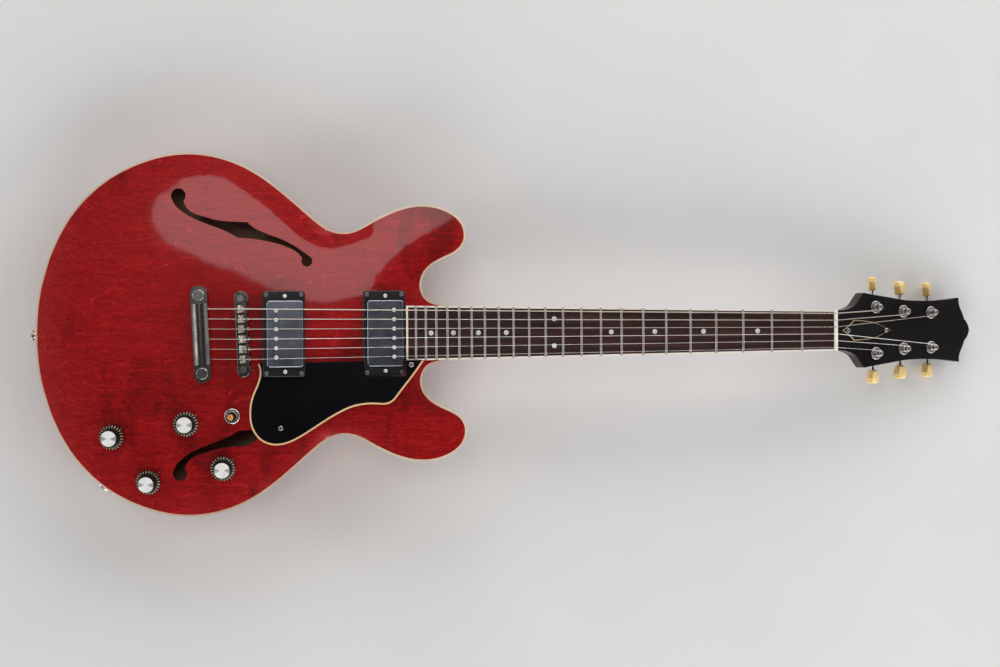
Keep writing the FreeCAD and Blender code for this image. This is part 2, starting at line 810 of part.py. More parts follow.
def string_lowest(index, x):
    """The height of a string's underside over the fingerboard's plane, x from the nut."""
    rise = string_height_nut + (string_height_bridge - string_height_nut) * -x / scale_length
    side = string_side(index, string_spread_nut + (string_spread_bridge - string_spread_nut)
                       * -x / scale_length)
    return rise - side * side / (2 * board_radius)


def string_point(index, x):
    """The middle of a string at x from the nut, in the body frame."""
    side = string_side(index, string_spread_nut + (string_spread_bridge - string_spread_nut)
                       * -x / scale_length)
    return neck_place.multVec(
        Vec(x, side, string_lowest(index, x) + string_diameters[index] / 2))


tail_lean = Turn(Z_DIR, tailpiece_slant)
tail_z = rim_depth + arch_height + tailpiece_clearance
tail_place = Place(Vec(tailpiece_centre, 0, tail_z), tail_lean)
bridge_place = Place(Vec(bridge_centre, 0, 0), Turn(Z_DIR, bridge_slant))
strings = []
string_runs = []
winding_gaps = []
string_tails = []
for index in range(string_count):
    diameter = string_diameters[index]
    radius = diameter / 2
    side_at_bridge = string_side(index, string_spread_bridge)
    hole = tail_place.multVec(Vec(0, side_at_bridge, tailpiece_height / 2))
    back = tail_place.multVec(Vec(-tailpiece_width / 2 + ball_end_length + overrun,
                                  side_at_bridge, tailpiece_height / 2))
    front = tail_place.multVec(Vec(tailpiece_width / 2, side_at_bridge, tailpiece_height / 2))
    saddle = string_point(index, -scale_length - saddle_compensation[index])
    at_nut = string_point(index, nut_length / 2)
    order = index if index < string_count / 2 else string_count - 1 - index
    outer = 1 if index < string_count / 2 else -1
    post = Vec(post_from_nut[order], outer * post_from_centre[order], 0)
    wrap = post_radius + running_clearance + radius
    level = winding_start_height
    local_nut = head_place.inverse().multVec(at_nut)
    toward = Vec(post.x - local_nut.x, post.y - local_nut.y, 0)
    turn = math.asin(wrap / toward.Length) * outer
    heading = math.atan2(toward.y, toward.x) - turn
    run = math.sqrt(toward.Length ** 2 - wrap ** 2)
    touch = Vec(local_nut.x + run * math.cos(heading), local_nut.y + run * math.sin(heading),
                level)
    start_angle = math.atan2(touch.y - post.y, touch.x - post.x)
    pitch = diameter + winding_gap
    quarters = 4 * winding_turns
    helix = []
    for quarter in range(quarters + 1):
        angle = start_angle + outer * quarter * math.pi / 2
        point = Vec(post.x + wrap * math.cos(angle), post.y + wrap * math.sin(angle),
                    level - pitch * quarter / 4)
        tangent = Vec(-outer * math.sin(angle) * wrap, outer * math.cos(angle) * wrap,
                      -pitch / (2 * math.pi))
        helix.append((point, tangent.normalize()))
    arrival = touch - local_nut
    helix[0] = (touch, arrival.normalize())
    saddle_bend = bend(saddle, front, at_nut, string_bend_radius)
    front_bend = bend(front, back, saddle, string_bend_radius)
    world_touch = head_place.multVec(touch)
    nut_bend = bend(at_nut, saddle, world_touch, string_bend_radius)
    path = [Part.makeLine(back, front_bend[0]), Part.Arc(*front_bend).toShape(),
            Part.makeLine(front_bend[2], saddle_bend[0]), Part.Arc(*saddle_bend).toShape(),
            Part.makeLine(saddle_bend[2], nut_bend[0]), Part.Arc(*nut_bend).toShape(),
            Part.makeLine(nut_bend[2], world_touch)]
    for quarter in range(quarters):
        start, leaving = helix[quarter]
        end, arriving = helix[quarter + 1]
        for arc in biarc(start, leaving, end, arriving):
            path.append(in_head(arc))
    last, direction = helix[-1]
    path.append(Part.makeLine(head_place.multVec(last),
                              head_place.multVec(last + direction * string_end_length)))
    wire = Part.Wire(path)
    lead = (front - back).normalize()
    section = Part.Wire([Part.makeCircle(radius, back, lead)])
    strings.append(wire.makePipeShell([section], True, False))
    reach = string_spread_bridge
    for low, high in ((back.x - reach, saddle.x), (saddle.x, at_nut.x),
                      (at_nut.x, world_touch.x + reach)):
        run_room = box(low, high, -reach, reach, -2 * reach, 2 * board_plane_at_bridge)
        string_runs.append(strings[-1].common(run_room).Solids[0])
    samples = []
    for step in range(winding_samples * winding_turns + 1):
        angle = 2 * math.pi * step / winding_samples
        samples.append(Vec(wrap * math.cos(angle), wrap * math.sin(angle),
                           pitch * step / winding_samples))
    least = min((samples[a] - samples[b]).Length for a in range(len(samples))
                for b in range(a + winding_samples // 2, len(samples)))
    winding_gaps.append(least - diameter)
    ball = rod(back - lead * ball_end_length, back, ball_end_radius)
    string_tails.append(ball)
print("least gap between the turns of a string:", round(min(winding_gaps), 3))
wound_runs = wound_strings * len(string_runs) // string_count
nodes["strings_wound"] = Part.makeCompound(string_runs[:wound_runs]
                                           + string_tails[:wound_strings])
nodes["strings_plain"] = Part.makeCompound(string_runs[wound_runs:]
                                           + string_tails[wound_strings:])

# Nut, with a slot for each string
nut_body = box(0, nut_length, -nut_width / 2, nut_width / 2, -board_thickness, nut_rise)
nut_top = [e for e in nut_body.Edges if e.BoundBox.ZMin > nut_rise / 2]
nut_body = in_neck(nut_body.makeFillet(nut_edge_round, nut_top))
for string in strings:
    nut_body = nut_body.cut(string)
for index in range(string_count):
    top = string_point(index, nut_length / 2)
    slot = box(-nut_length, nut_length, -string_diameters[index] / 2,
               string_diameters[index] / 2, 0, nut_rise * 2)
    nut_body = nut_body.cut(placed(slot, Place(top, Turn(Y_DIR, neck_angle))))
nodes["nut"] = nut_body

# Tuning machines: a housing, a worm on the button's shaft, and a gear on the string post
housings = []
bushings = []
tuner_screws = []
back_level = -head_thickness
worm_level = back_level - housing_depth / 2
for index, side, x, y in posts:
    number = index + 1 if side > 0 else string_count - index
    floor = back_level - housing_depth
    shell_start = x + worm_offset / 2 - housing_length / 2
    shell_end = shell_start + housing_length
    shell = rounded_box(shell_start, shell_end, y - housing_width / 2, y + housing_width / 2,
                        floor, back_level, housing_round)
    room_half = housing_width / 2 - housing_wall
    room = box(x - gear_radius - 2 * running_clearance - housing_wall / 2,
               x + worm_offset + worm_radius + housing_wall / 2, y - room_half, y + room_half,
               floor + housing_wall, back_level)
    shell = shell.cut(room)
    outer_end = y + side * (button_from_post - button_length / 2)
    axis_start = Vec(x + worm_offset, y - side * (housing_width / 2 - housing_wall), worm_level)
    axis_end = Vec(x + worm_offset, outer_end, worm_level)
    wall_end = Vec(axis_end.x, y + side * (housing_width / 2 + overrun), worm_level)
    shell = shell.cut(rod(Vec(axis_end.x, y, worm_level), wall_end,
                          shaft_radius + running_clearance))
    shell = shell.cut(upright(x, y, floor - overrun, back_level,
                              gear_screw_radius + running_clearance))
    ear = tuner_screw_head_radius + housing_wall
    for end in (shell_start - ear / 2, shell_end + ear / 2):
        lug = upright(end, y, back_level - housing_wall, back_level, ear)
        lug = lug.cut(box(shell_start, shell_end, y - housing_width / 2, y + housing_width / 2,
                          floor, back_level))
        fastener = screw(tuner_screw_head_radius, housing_wall, tuner_screw_radius,
                         tuner_screw_length, slot_width / 2)
        fastener = placed(fastener, Place(Vec(end, y, back_level - housing_wall),
                                          Turn(X_DIR, 180)))
        shell = shell.fuse(lug)
        shell = shell.cut(fastener)
        tuner_screws.append(in_head(fastener))
    housings.append(in_head(shell))
    flange_top = veneer_thickness + bushing_flange
    flange = upright(x, y, veneer_thickness, flange_top, bushing_radius)
    flange = flange.makeFillet(bushing_flange / 2, [flange.Edges[0]])
    sleeve = upright(x, y, back_level, veneer_thickness, bushing_sleeve_radius)
    bushing = joined([flange, sleeve])
    bushings.append(in_head(bushing.cut(upright(x, y, back_level - overrun,
                                                flange_top + overrun,
                                                post_radius + running_clearance))))
    post_top = flange_top + post_rise
    stem = upright(x, y, worm_level, post_top, post_radius)
    stem = stem.makeFillet(post_radius / 4, [stem.Edges[0]])
    gear = upright(x, y, worm_level - gear_width / 2, worm_level + gear_width / 2, gear_radius)
    for tooth in range(gear_tooth_count):
        angle = 360 * tooth / gear_tooth_count
        gap = box(gear_radius - gear_tooth_depth, gear_radius + overrun,
                  -gear_tooth_depth / 2, gear_tooth_depth / 2, -gear_width, gear_width)
        gap.rotate(Vec(0, 0, 0), Z_DIR, angle)
        gear = gear.cut(gap.translated(Vec(x, y, worm_level)))
    pivot = upright(x, y, floor, worm_level, gear_screw_radius)
    post_piece = joined([stem, gear, pivot])
    eye_level = flange_top + post_rise * post_hole_share
    post_piece = post_piece.cut(rod(Vec(x, y - post_radius - overrun, eye_level),
                                    Vec(x, y + post_radius + overrun, eye_level),
                                    post_hole_radius))
    nodes["tuner_post_%d" % number] = in_head(post_piece)
    worm_inner = y - side * worm_length / 2
    worm_outer = y + side * worm_length / 2
    worm = rod(Vec(axis_end.x, worm_inner, worm_level), Vec(axis_end.x, worm_outer, worm_level),
               worm_radius)
    for rib in range(worm_rib_count - 1):
        place = worm_length * (rib + 1) / worm_rib_count - worm_length / 2
        groove = worm_length / worm_rib_count / 2
        ring = rod(Vec(axis_end.x, y + place - groove / 2, worm_level),
                   Vec(axis_end.x, y + place + groove / 2, worm_level), worm_radius + overrun)
        ring = ring.cut(rod(Vec(axis_end.x, y + place - groove, worm_level),
                            Vec(axis_end.x, y + place + groove, worm_level),
                            worm_radius - worm_rib_depth))
        worm = worm.cut(ring)
    collar_start = Vec(axis_end.x, outer_end - side * shaft_collar_length, worm_level)
    tip = Vec(axis_end.x, outer_end + side * button_length * button_shaft_share, worm_level)
    key = joined([worm, rod(axis_start + Y_DIR * side * running_clearance, tip, shaft_radius),
                  rod(collar_start, axis_end, shaft_collar_radius)])
    nodes["tuner_key_%d" % number] = in_head(key)
    half_out = button_width / 2
    half_in = button_neck_width / 2
    button_shoulder = button_length * button_shoulder_share
    blade = Part.makePolygon([Vec(-half_in, 0, 0), Vec(half_in, 0, 0),
                              Vec(half_out, button_shoulder, 0),
                              Vec(half_out * button_end_share, button_length, 0),
                              Vec(-half_out * button_end_share, button_length, 0),
                              Vec(-half_out, button_shoulder, 0), Vec(-half_in, 0, 0)])
    button = prism(blade, -button_thickness / 2, button_thickness / 2)
    button = button.makeFillet(button_round, button.Edges)
    if side < 0:
        button = mirrored(button)
    button = placed(button, Place(axis_end, Turn(Y_DIR, button_rolls[number - 1])))
    nodes["tuner_button_%d" % number] = in_head(button.cut(rod(axis_start, tip, shaft_radius)))
nodes["tuner_housings"] = Part.makeCompound(housings + tuner_screws)
nodes["tuner_bushings"] = Part.makeCompound(bushings)
for fastener in tuner_screws:
    neck_wood = neck_wood.cut(fastener)
nodes["neck"] = neck_wood

# Bridge: a body with a channel, six saddles with their screws, two posts with thumbwheels
saddles = []
saddle_screws = []
string_at_bridge = string_point(0, -scale_length).z
bridge_top = string_at_bridge - bridge_clear_under_strings
bridge_floor = bridge_top - bridge_body_height
half_bridge = bridge_length / 2
half_body = bridge_body_width / 2
bridge_body = rounded_box(-half_body, half_body, -half_bridge, half_bridge, bridge_floor,
                          bridge_top, half_body * bridge_end_round_share, slot_depth)
channel_end = string_spread_bridge / 2 + saddle_width / 2 + running_clearance
bridge_body = bridge_body.cut(box(-bridge_channel_width / 2, bridge_channel_width / 2,
                                  -channel_end, channel_end,
                                  bridge_top - bridge_channel_depth, bridge_top + overrun))
for index in range(string_count):
    side = string_side(index, string_spread_bridge)
    crest = string_point(index, -scale_length - saddle_compensation[index])
    local = bridge_place.inverse().multVec(crest)
    lift = local.z
    base = bridge_top - bridge_channel_depth
    half_saddle = saddle_width / 2 - running_clearance * 2
    reach = saddle_length / 2
    middle = max(min(local.x, bridge_channel_width / 2 - reach),
                 reach - bridge_channel_width / 2)
    profile = Part.makePolygon([Vec(middle - reach, 0, base), Vec(middle + reach, 0, base),
                                Vec(middle + reach, 0, lift - saddle_length / 3),
                                Vec(local.x, 0, lift),
                                Vec(middle - reach, 0, lift - saddle_length / 3),
                                Vec(middle - reach, 0, base)])
    block = Part.Face(profile).extrude(Vec(0, 2 * half_saddle, 0))
    block.translate(Vec(0, side - half_saddle, 0))
    axis_z = base + bridge_channel_depth / 2
    outside = half_body + saddle_screw_head
    start = Vec(-half_body + slot_depth, side, axis_z)
    shank = rod(start, Vec(half_body, side, axis_z), saddle_screw_radius)
    head = rod(Vec(half_body, side, axis_z), Vec(outside, side, axis_z), saddle_screw_head_radius)
    head = head.cut(box(outside - saddle_screw_head / 2, outside + overrun, side - slot_width / 4,
                        side + slot_width / 4, base, bridge_top))
    fastener = placed(joined([shank, head]), bridge_place)
    saddle_screws.append(fastener)
    block = placed(block, bridge_place).cut(fastener)
    for string in strings:
        block = block.cut(string)
    saddles.append(block)
bridge_posts = []
wheels = []
bridge_sockets = []
for side in (1, -1):
    y = side * bridge_post_spacing / 2
    place = bridge_place.multVec(Vec(0, y, 0))
    top = rim_depth + arch_at(place.x, place.y)
    socket = upright(0, y, top - bridge_bushing_depth, top, bridge_bushing_radius)
    stem = upright(0, y, top - bridge_bushing_depth / 2, bridge_top, bridge_post_radius)
    cap = upright(0, y, bridge_top, bridge_top + bridge_post_head, bridge_post_head_radius)
    cap = cap.cut(box(-half_body, half_body, y - slot_width / 2, y + slot_width / 2,
                      bridge_top + bridge_post_head / 3, bridge_top + overrun))
    post_piece = joined([stem, cap])
    wheel_top = bridge_floor
    wheel = upright(0, y, wheel_top - thumbwheel_thickness, wheel_top, thumbwheel_radius)
    for tooth in range(thumbwheel_teeth):
        angle = 2 * math.pi * tooth / thumbwheel_teeth
        wheel = wheel.cut(upright(thumbwheel_radius * math.cos(angle),
                                  y + thumbwheel_radius * math.sin(angle),
                                  wheel_top - thumbwheel_thickness, wheel_top,
                                  thumbwheel_radius * math.pi / thumbwheel_teeth / 2))
    wheel = wheel.cut(stem)
    bridge_body = bridge_body.cut(stem)
    socket_place = placed(socket, bridge_place)
    bridge_sockets.append(placed(upright(0, y, top - bridge_bushing_depth, top + overrun,
                                         bridge_bushing_radius), bridge_place))
    bridge_posts.append(placed(post_piece, bridge_place))
    bridge_posts.append(socket_place.cut(placed(stem, bridge_place)))
    wheels.append(placed(wheel, bridge_place))
bridge_body = placed(bridge_body, bridge_place)
for fastener in saddle_screws:
    bridge_body = bridge_body.cut(fastener)
nodes["bridge_body"] = bridge_body
nodes["bridge_saddles"] = Part.makeCompound(saddles + saddle_screws)

# Tailpiece: a bar with forked ears under the heads of two studs
half_tail = tailpiece_width / 2
neck_half = tailpiece_neck_length / 2
stud_y = tailpiece_stud_spacing / 2
corners = [Vec(half_tail * across, -neck_half, tailpiece_height * up)
           for across, up in tailpiece_profile_shares]
crown = Vec(half_tail * tailpiece_crown_share, -neck_half, tailpiece_height)
bar_profile = Part.Wire([Part.makeLine(corners[0], corners[1]),
                         Part.Arc(corners[1], crown, corners[2]).toShape()]
                        + [Part.makeLine(start, end)
                           for start, end in zip(corners[2:], corners[3:] + corners[:1])])
bar = Part.Face(bar_profile).extrude(Vec(0, 2 * neck_half, 0))
ear_base = tailpiece_height * tailpiece_ear_base_share
ears = rounded_box(-half_tail, half_tail, -tailpiece_length / 2, tailpiece_length / 2, ear_base,
                   ear_base + tailpiece_ear_thickness, half_tail * tailpiece_ear_round_share)
bar = joined([bar, ears])
studs = []
for side in (1, -1):
    y = side * stud_y
    ear_top = ear_base + tailpiece_ear_thickness
    place = tail_place.multVec(Vec(0, y, 0))
    surface = arch_at(place.x, place.y) - arch_height - tailpiece_clearance
    bar = bar.cut(upright(0, y, -overrun, ear_top, stud_neck_radius))
    bar = bar.cut(upright(0, y, ear_top, tailpiece_height + overrun,
                          stud_head_radius + running_clearance))
    bushing = upright(0, y, surface - stud_bushing_depth, surface, stud_bushing_radius)
    flange = upright(0, y, surface - stud_bushing_depth / 2, ear_base, stud_radius)
    rim_below = upright(0, y, ear_base - slot_depth, ear_base, stud_head_radius)
    waist = upright(0, y, ear_base, ear_top, stud_neck_radius)
    head = upright(0, y, ear_top, ear_top + stud_head, stud_head_radius)
    head = head.makeFillet(stud_head / 4, [head.Edges[0]])
    heading = stud_slot_headings[0 if side > 0 else 1]
    slot = box(-stud_head_radius, stud_head_radius, -stud_slot_width / 2, stud_slot_width / 2,
               ear_top + stud_head - slot_depth, ear_top + stud_head + overrun)
    slot.rotate(Vec(0, 0, 0), Z_DIR, heading)
    head = head.cut(slot.translated(Vec(0, y, 0)))
    stud = joined([flange, rim_below, waist, head])
    studs.append(placed(stud, tail_place))
    socket = placed(bushing, tail_place)
    bridge_sockets.append(placed(upright(0, y, surface - stud_bushing_depth,
                                         surface + overrun, stud_bushing_radius), tail_place))
    studs.append(socket.cut(placed(stud, tail_place)))
bar = placed(bar, tail_place)
for tail_string, ball in zip(strings, string_tails):
    bar = bar.cut(tail_string).cut(ball)
for index in range(string_count):
    side = string_side(index, string_spread_bridge)
    entry = tail_place.multVec(Vec(-half_tail - overrun, side, tailpiece_height / 2))
    inner = tail_place.multVec(Vec(-half_tail + ball_end_length + overrun, side,
                                   tailpiece_height / 2))
    bar = bar.cut(rod(entry, inner, ball_end_radius))
nodes["tailpiece"] = bar

# Pickups, leaning with the strings
ring_pieces = []
covers = []
cores = []
pickup_screws = []
routes = []
ring_spaces = []
string_slope = neck_angle
for number, x in enumerate(pickup_places):
    reference = string_point(string_count - 1, -(nut_x - x) / math.cos(lean))
    level = reference.z - pickup_below_strings[number]
    place = Place(Vec(x, 0, level), Turn(Y_DIR, string_slope))
    pole_side = pickup_pole_sides[number]
    half_long = cover_length / 2
    half_wide = cover_width / 2
    cover = rounded_box(-half_long, half_long, -half_wide, half_wide, -cover_depth, 0,
                        cover_corner, cover_top_round)
    hollow = rounded_box(-half_long + cover_wall, half_long - cover_wall,
                         -half_wide + cover_wall, half_wide - cover_wall,
                         -cover_depth - overrun, -cover_wall, cover_corner - cover_wall)
    cover = cover.cut(hollow)
    bobbin_x = half_long - cover_wall - bobbin_clearance
    bobbin_y = half_wide - cover_wall - bobbin_clearance
    core = rounded_box(-bobbin_x, bobbin_x, -bobbin_y, bobbin_y, -cover_depth,
                       -cover_wall, cover_corner - cover_wall - bobbin_clearance)
    plate_top = -cover_depth
    plate = box(-half_long, half_long, -half_wide, half_wide,
                plate_top - baseplate_thickness, plate_top)
    core = joined([core, plate])
    leg_y = ring_width / 2 - height_screw_inset
    for side in (1, -1):
        leg = box(-leg_width / 2, leg_width / 2, min(side * half_wide, side * (leg_y + leg_reach / 2)),
                  max(side * half_wide, side * (leg_y + leg_reach / 2)),
                  plate_top - baseplate_thickness, plate_top)
        core = joined([core, leg])
    poles = []
    for index in range(string_count):
        y = pole_spacing * (string_count - 1) / 2 - pole_spacing * index
        pole = screw(pole_head_radius, pole_head_rise * 2, pole_shank_radius, pole_length,
                     pole_slot_width)
        poles.append(placed(pole, Place(Vec(pole_side * pole_offset, y, -pole_head_rise),
                                        Turn(Z_DIR, pole_headings[index]))))
    for pole in poles:
        cover = cover.cut(pole)
        core = core.cut(pole)
    below = level - (rim_depth + arch_at(x, 0))
    ring_top = ring_above_top[number] - below
    ring_mid = ring_shift
    half_ring = ring_length / 2
    half_ring_wide = ring_width / 2
    ring = rounded_box(ring_mid - half_ring, ring_mid + half_ring, -half_ring_wide,
                       half_ring_wide, ring_top - cover_depth - arch_height, ring_top,
                       ring_corner, ring_edge_round)
    opening = rounded_box(-half_long - cover_clearance, half_long + cover_clearance,
                          -half_wide - cover_clearance, half_wide + cover_clearance,
                          ring_top - cover_depth - arch_height - overrun, ring_top + overrun,
                          cover_corner + cover_clearance)
    ring = ring.cut(opening)
    screws = []
    for side in (1, -1):
        height = screw(height_screw_head_radius, ring_screw_head, height_screw_radius,
                       ring_top - plate_top + baseplate_thickness + overrun, slot_width / 2)
        screws.append(placed(height, Place(Vec(0, side * leg_y, ring_top), Turn())))
        for end in (1, -1):
            corner = screw(ring_screw_head_radius, ring_screw_head, ring_screw_radius,
                           ring_screw_length, slot_width / 2)
            corner_x = ring_mid + end * (half_ring - ring_screw_inset)
            corner_y = side * (half_ring_wide - ring_screw_inset)
            screws.append(placed(corner, Place(Vec(corner_x, corner_y, ring_top), Turn())))
    for piece in screws:
        ring = ring.cut(piece)
        core = core.cut(piece)
    route = box(-half_long - route_clearance, half_long + route_clearance,
                -half_wide - route_clearance, half_wide + route_clearance, -route_depth,
                route_depth)
    for side in (1, -1):
        route = route.fuse(box(-leg_width / 2 - route_clearance, leg_width / 2 + route_clearance,
                               min(0, side * (leg_y + leg_reach)),
                               max(0, side * (leg_y + leg_reach)), -route_depth, route_depth))
    routes.append(placed(route, place))
    ring_world = placed(ring, place).cut(below_top)
    ring_pieces.append(ring_world)
    ring_spaces.append(placed(
        box(ring_mid - half_ring - guard_gap_to_rings, ring_mid + half_ring + guard_gap_to_rings,
            -half_ring_wide - guard_gap_to_rings, half_ring_wide,
            ring_top - cover_depth - arch_height, ring_top + cover_depth), place))
    covers.append(placed(cover, place))
    cores.append(placed(core, place))
    pickup_screws += [placed(piece, place) for piece in poles + screws]
nodes["pickup_rings"] = Part.makeCompound(ring_pieces)
nodes["pickup_covers"] = Part.makeCompound(covers)
nodes["pickup_cores"] = Part.makeCompound(cores)
nodes["pickup_screws"] = Part.makeCompound(pickup_screws)

# Sound holes
def sound_hole_tool():
    def at(shares):
        return [Vec(body_length * sx, half_width * sy, 0) for sx, sy in shares]
    outer = at(sound_hole_outer_shares)
    inner = at(sound_hole_inner_shares)
    edges = [spline(outer[:sound_hole_outer_nick + 1]).toShape(),
             spline(outer[sound_hole_outer_nick:]).toShape(),
             Part.makeLine(outer[-1], inner[-1]),
             spline(inner[sound_hole_inner_nick:]).toShape(),
             spline(inner[:sound_hole_inner_nick + 1]).toShape(),
             Part.makeLine(inner[0], outer[0])]
    wire = Part.Wire(Part.__sortEdges__(edges))
    low = rim_depth - plate_thickness - overrun
    high = rim_depth + arch_height + overrun
    pieces = [prism(wire, low, high)]
    for share, radius in ((sound_hole_wide_share, sound_hole_wide_radius),
                          (sound_hole_narrow_share, sound_hole_narrow_radius)):
        pieces.append(upright(body_length * share[0], half_width * share[1], low, high, radius))
    return pieces


hole_tools = sound_hole_tool()
hole_tools += [mirrored(tool) for tool in hole_tools]

# Controls: a pot under the top, a dial pointer, a nut and a knob on each shaft
pots = []
control_holes = []
knob_axes = []
for number, (x, y) in enumerate(knob_places):
    place = seat(x, y)
    knob_axes.append(place)
    hole = upright(0, 0, -3 * plate_thickness, pot_bushing_rise + overrun,
                   pot_bushing_radius + hole_clearance)
    control_holes.append(placed(hole, place))
    body = upright(0, 0, -plate_thickness - pot_body_depth, -plate_thickness / 2,
                   pot_body_radius)
    body = body.cut(upright(0, 0, -plate_thickness - pot_body_depth / 2, pot_bushing_rise,
                            pot_bushing_radius))
    bushing = upright(0, 0, -plate_thickness - pot_body_depth / 2,
                      pot_bushing_rise, pot_bushing_radius)
    bushing = bushing.cut(upright(0, 0, -plate_thickness - pot_body_depth / 2,
                                  pot_bushing_rise + overrun,
                                  pot_shaft_radius + running_clearance))
    plate = upright(0, 0, -plate_thickness, pointer_thickness, pointer_plate_radius)
    taper = Part.makePolygon([Vec(0, -pointer_width / 2, 0), Vec(pointer_reach, 0, 0),
                              Vec(0, pointer_width / 2, 0), Vec(0, -pointer_width / 2, 0)])
    arm = prism(taper, -plate_thickness, pointer_thickness)
    arm.rotate(Vec(0, 0, 0), Z_DIR, pointer_heading)
    pointer = joined([plate, arm]).cut(upright(0, 0, -2 * plate_thickness, overrun,
                                               pot_bushing_radius))
    pointer = placed(pointer, place).cut(below_top)
    pointer = [piece for piece in pointer.Solids if piece.Volume > pointer_thickness][0]
    nut = upright(0, 0, pointer_thickness, pointer_thickness + pot_nut_height, pot_nut_radius)
    nut = nut.cut(upright(0, 0, 0, pot_bushing_rise, pot_bushing_radius))
    pots.append(("pot", placed(body, place), placed(bushing, place)))
    pots.append(("trim", pointer, placed(nut, place)))
    skirt = knob_seat + knob_skirt_height
    skirt_edge = knob_seat + knob_skirt_height * knob_skirt_edge_share
    outline = Part.makePolygon([
        Vec(0, 0, knob_seat), Vec(knob_skirt_radius, 0, knob_seat),
        Vec(knob_skirt_radius, 0, skirt_edge),
        Vec(knob_barrel_radius, 0, skirt), Vec(knob_top_radius, 0, knob_height),
        Vec(0, 0, knob_height), Vec(0, 0, knob_seat)])
    knob = Part.Face(outline).revolve(Vec(0, 0, 0), Z_DIR, 360)
    for rib in range(knob_rib_count):
        angle = 2 * math.pi * rib / knob_rib_count
        knob = knob.cut(upright(knob_skirt_radius * math.cos(angle),
                                knob_skirt_radius * math.sin(angle), knob_seat - overrun,
                                skirt_edge + overrun, knob_rib_radius))
    knob = knob.cut(upright(0, 0, knob_seat - overrun, knob_seat + knob_recess_depth,
                            knob_recess_radius))
    shaft_start = -plate_thickness - pot_body_depth / 2 + running_clearance
    spindle = upright(0, 0, shaft_start, knob_height - knob_cap_thickness, pot_shaft_radius)
    cap = upright(0, 0, knob_height - knob_cap_thickness, knob_height + knob_cap_thickness / 2,
                  knob_cap_radius)
    knob = knob.cut(spindle).cut(cap)
    nodes["knob_%d" % (number + 1)] = placed(knob, place)
    nodes["knob_cap_and_shaft_%d" % (number + 1)] = Part.makeCompound(
        [placed(spindle, place), placed(cap, place)])

# Three-way switch: a frame under the top, a nut and collar, and a lever with a tip
switch_seat = seat(*switch_place)
frame = box(-switch_frame_length / 2, switch_frame_length / 2, -switch_frame_width / 2,
            switch_frame_width / 2, -plate_thickness - switch_frame_depth, -plate_thickness / 2)
frame_room = box(-switch_frame_length / 2 - overrun, switch_frame_length / 2 + overrun,
                 -switch_frame_width / 2 + knob_cap_thickness * 2,
                 switch_frame_width / 2 - knob_cap_thickness * 2,
                 -plate_thickness - switch_frame_depth + overrun, -plate_thickness - overrun)
thread = upright(0, 0, -plate_thickness - overrun, switch_collar_height, switch_collar_radius)
collar_nut = upright(0, 0, -overrun, switch_nut_height, switch_nut_radius)
collar_nut = collar_nut.makeFillet(switch_nut_height / 3, [collar_nut.Edges[0]])
collar_nut = collar_nut.cut(upright(0, 0, -2 * overrun, switch_nut_height + overrun,
                                    switch_collar_radius))
pivot_level = switch_collar_height / 2
throw = math.tan(math.radians(switch_throw + 3))
bore_low = switch_lever_radius + running_clearance + switch_lever_tail * throw
cone = Part.makeCone(switch_lever_radius + 2 * running_clearance,
                     switch_lever_radius + 2 * running_clearance + overrun * 2 * throw
                     + (switch_collar_height - pivot_level) * throw,
                     switch_collar_height - pivot_level + overrun, Vec(0, 0, pivot_level))
down = Part.makeCone(switch_lever_radius + 2 * running_clearance, bore_low + overrun * throw,
                     pivot_level + plate_thickness + 2 * overrun, Vec(0, 0, pivot_level),
                     Vec(0, 0, -1))
thread = thread.cut(cone).cut(down)
pin_half = switch_pin_length / 2
pin_room = rod(Vec(0, -pin_half - running_clearance, pivot_level),
               Vec(0, pin_half + running_clearance, pivot_level),
               switch_pin_radius + running_clearance)
thread = thread.cut(pin_room)
control_holes.append(placed(upright(0, 0, -3 * plate_thickness, overrun + switch_collar_height,
                                    switch_collar_radius + hole_clearance), switch_seat))
lever_low = pivot_level - switch_lever_tail
lever_top = switch_collar_height + switch_lever_rise
lever = upright(0, 0, lever_low, lever_top, switch_lever_radius).fuse(
    rod(Vec(0, -pin_half, pivot_level), Vec(0, pin_half, pivot_level), switch_pin_radius))
tip_base = lever_top - switch_tip_length / 2
tip_cone = switch_tip_length * switch_tip_cone_share
tip = Part.makeCone(switch_cone_radius * switch_tip_base_share, switch_tip_radius, tip_cone,
                    Vec(0, 0, tip_base))
tip_top = tip_base + tip_cone
tip = tip.fuse(Part.makeSphere(switch_tip_radius, Vec(0, 0, tip_top), Z_DIR, 0, 90, 360))
tip = tip.removeSplitter().cut(lever)
nodes["switch_lever"] = placed(lever, switch_seat)
nodes["switch_tip"] = placed(tip, switch_seat)

# Body plates, rim, linings and centre block
hole_tools += control_holes + routes
top_blank = top_face.extrude(Vec(0, 0, -plate_thickness))
top_plate = top_blank.common(prism(outline_wire(binding_width), 0, 2 * rim_depth))
for tool in hole_tools:
    top_plate = top_plate.cut(tool)
top_plate = top_plate.cut(board_space).cut(tenon)
back_blank = back_face.extrude(Vec(0, 0, plate_thickness))
back_plate = back_blank.common(prism(outline_wire(binding_width), -rim_depth, rim_depth))
side_band = prism(outline_wire(0), plate_thickness, rim_depth - plate_thickness)
inner_band = body_prism(rim_thickness, 0, rim_depth, rim_thickness)
rim = side_band.cut(inner_band).cut(tenon).cut(board_space)
edge_inner = prism(outline_wire(binding_width), -overrun, rim_depth + overrun)
top_band = prism(outline_wire(0), rim_depth - plate_thickness, rim_depth).cut(edge_inner)
back_band = prism(outline_wire(0), 0, plate_thickness).cut(edge_inner)
top_band = top_band.cut(tenon).cut(board_space)
block_half = centre_block_width / 2
block = box(rim_thickness, nose_x - rim_thickness, -block_half, block_half, -arch_height,
            rim_depth + arch_height)
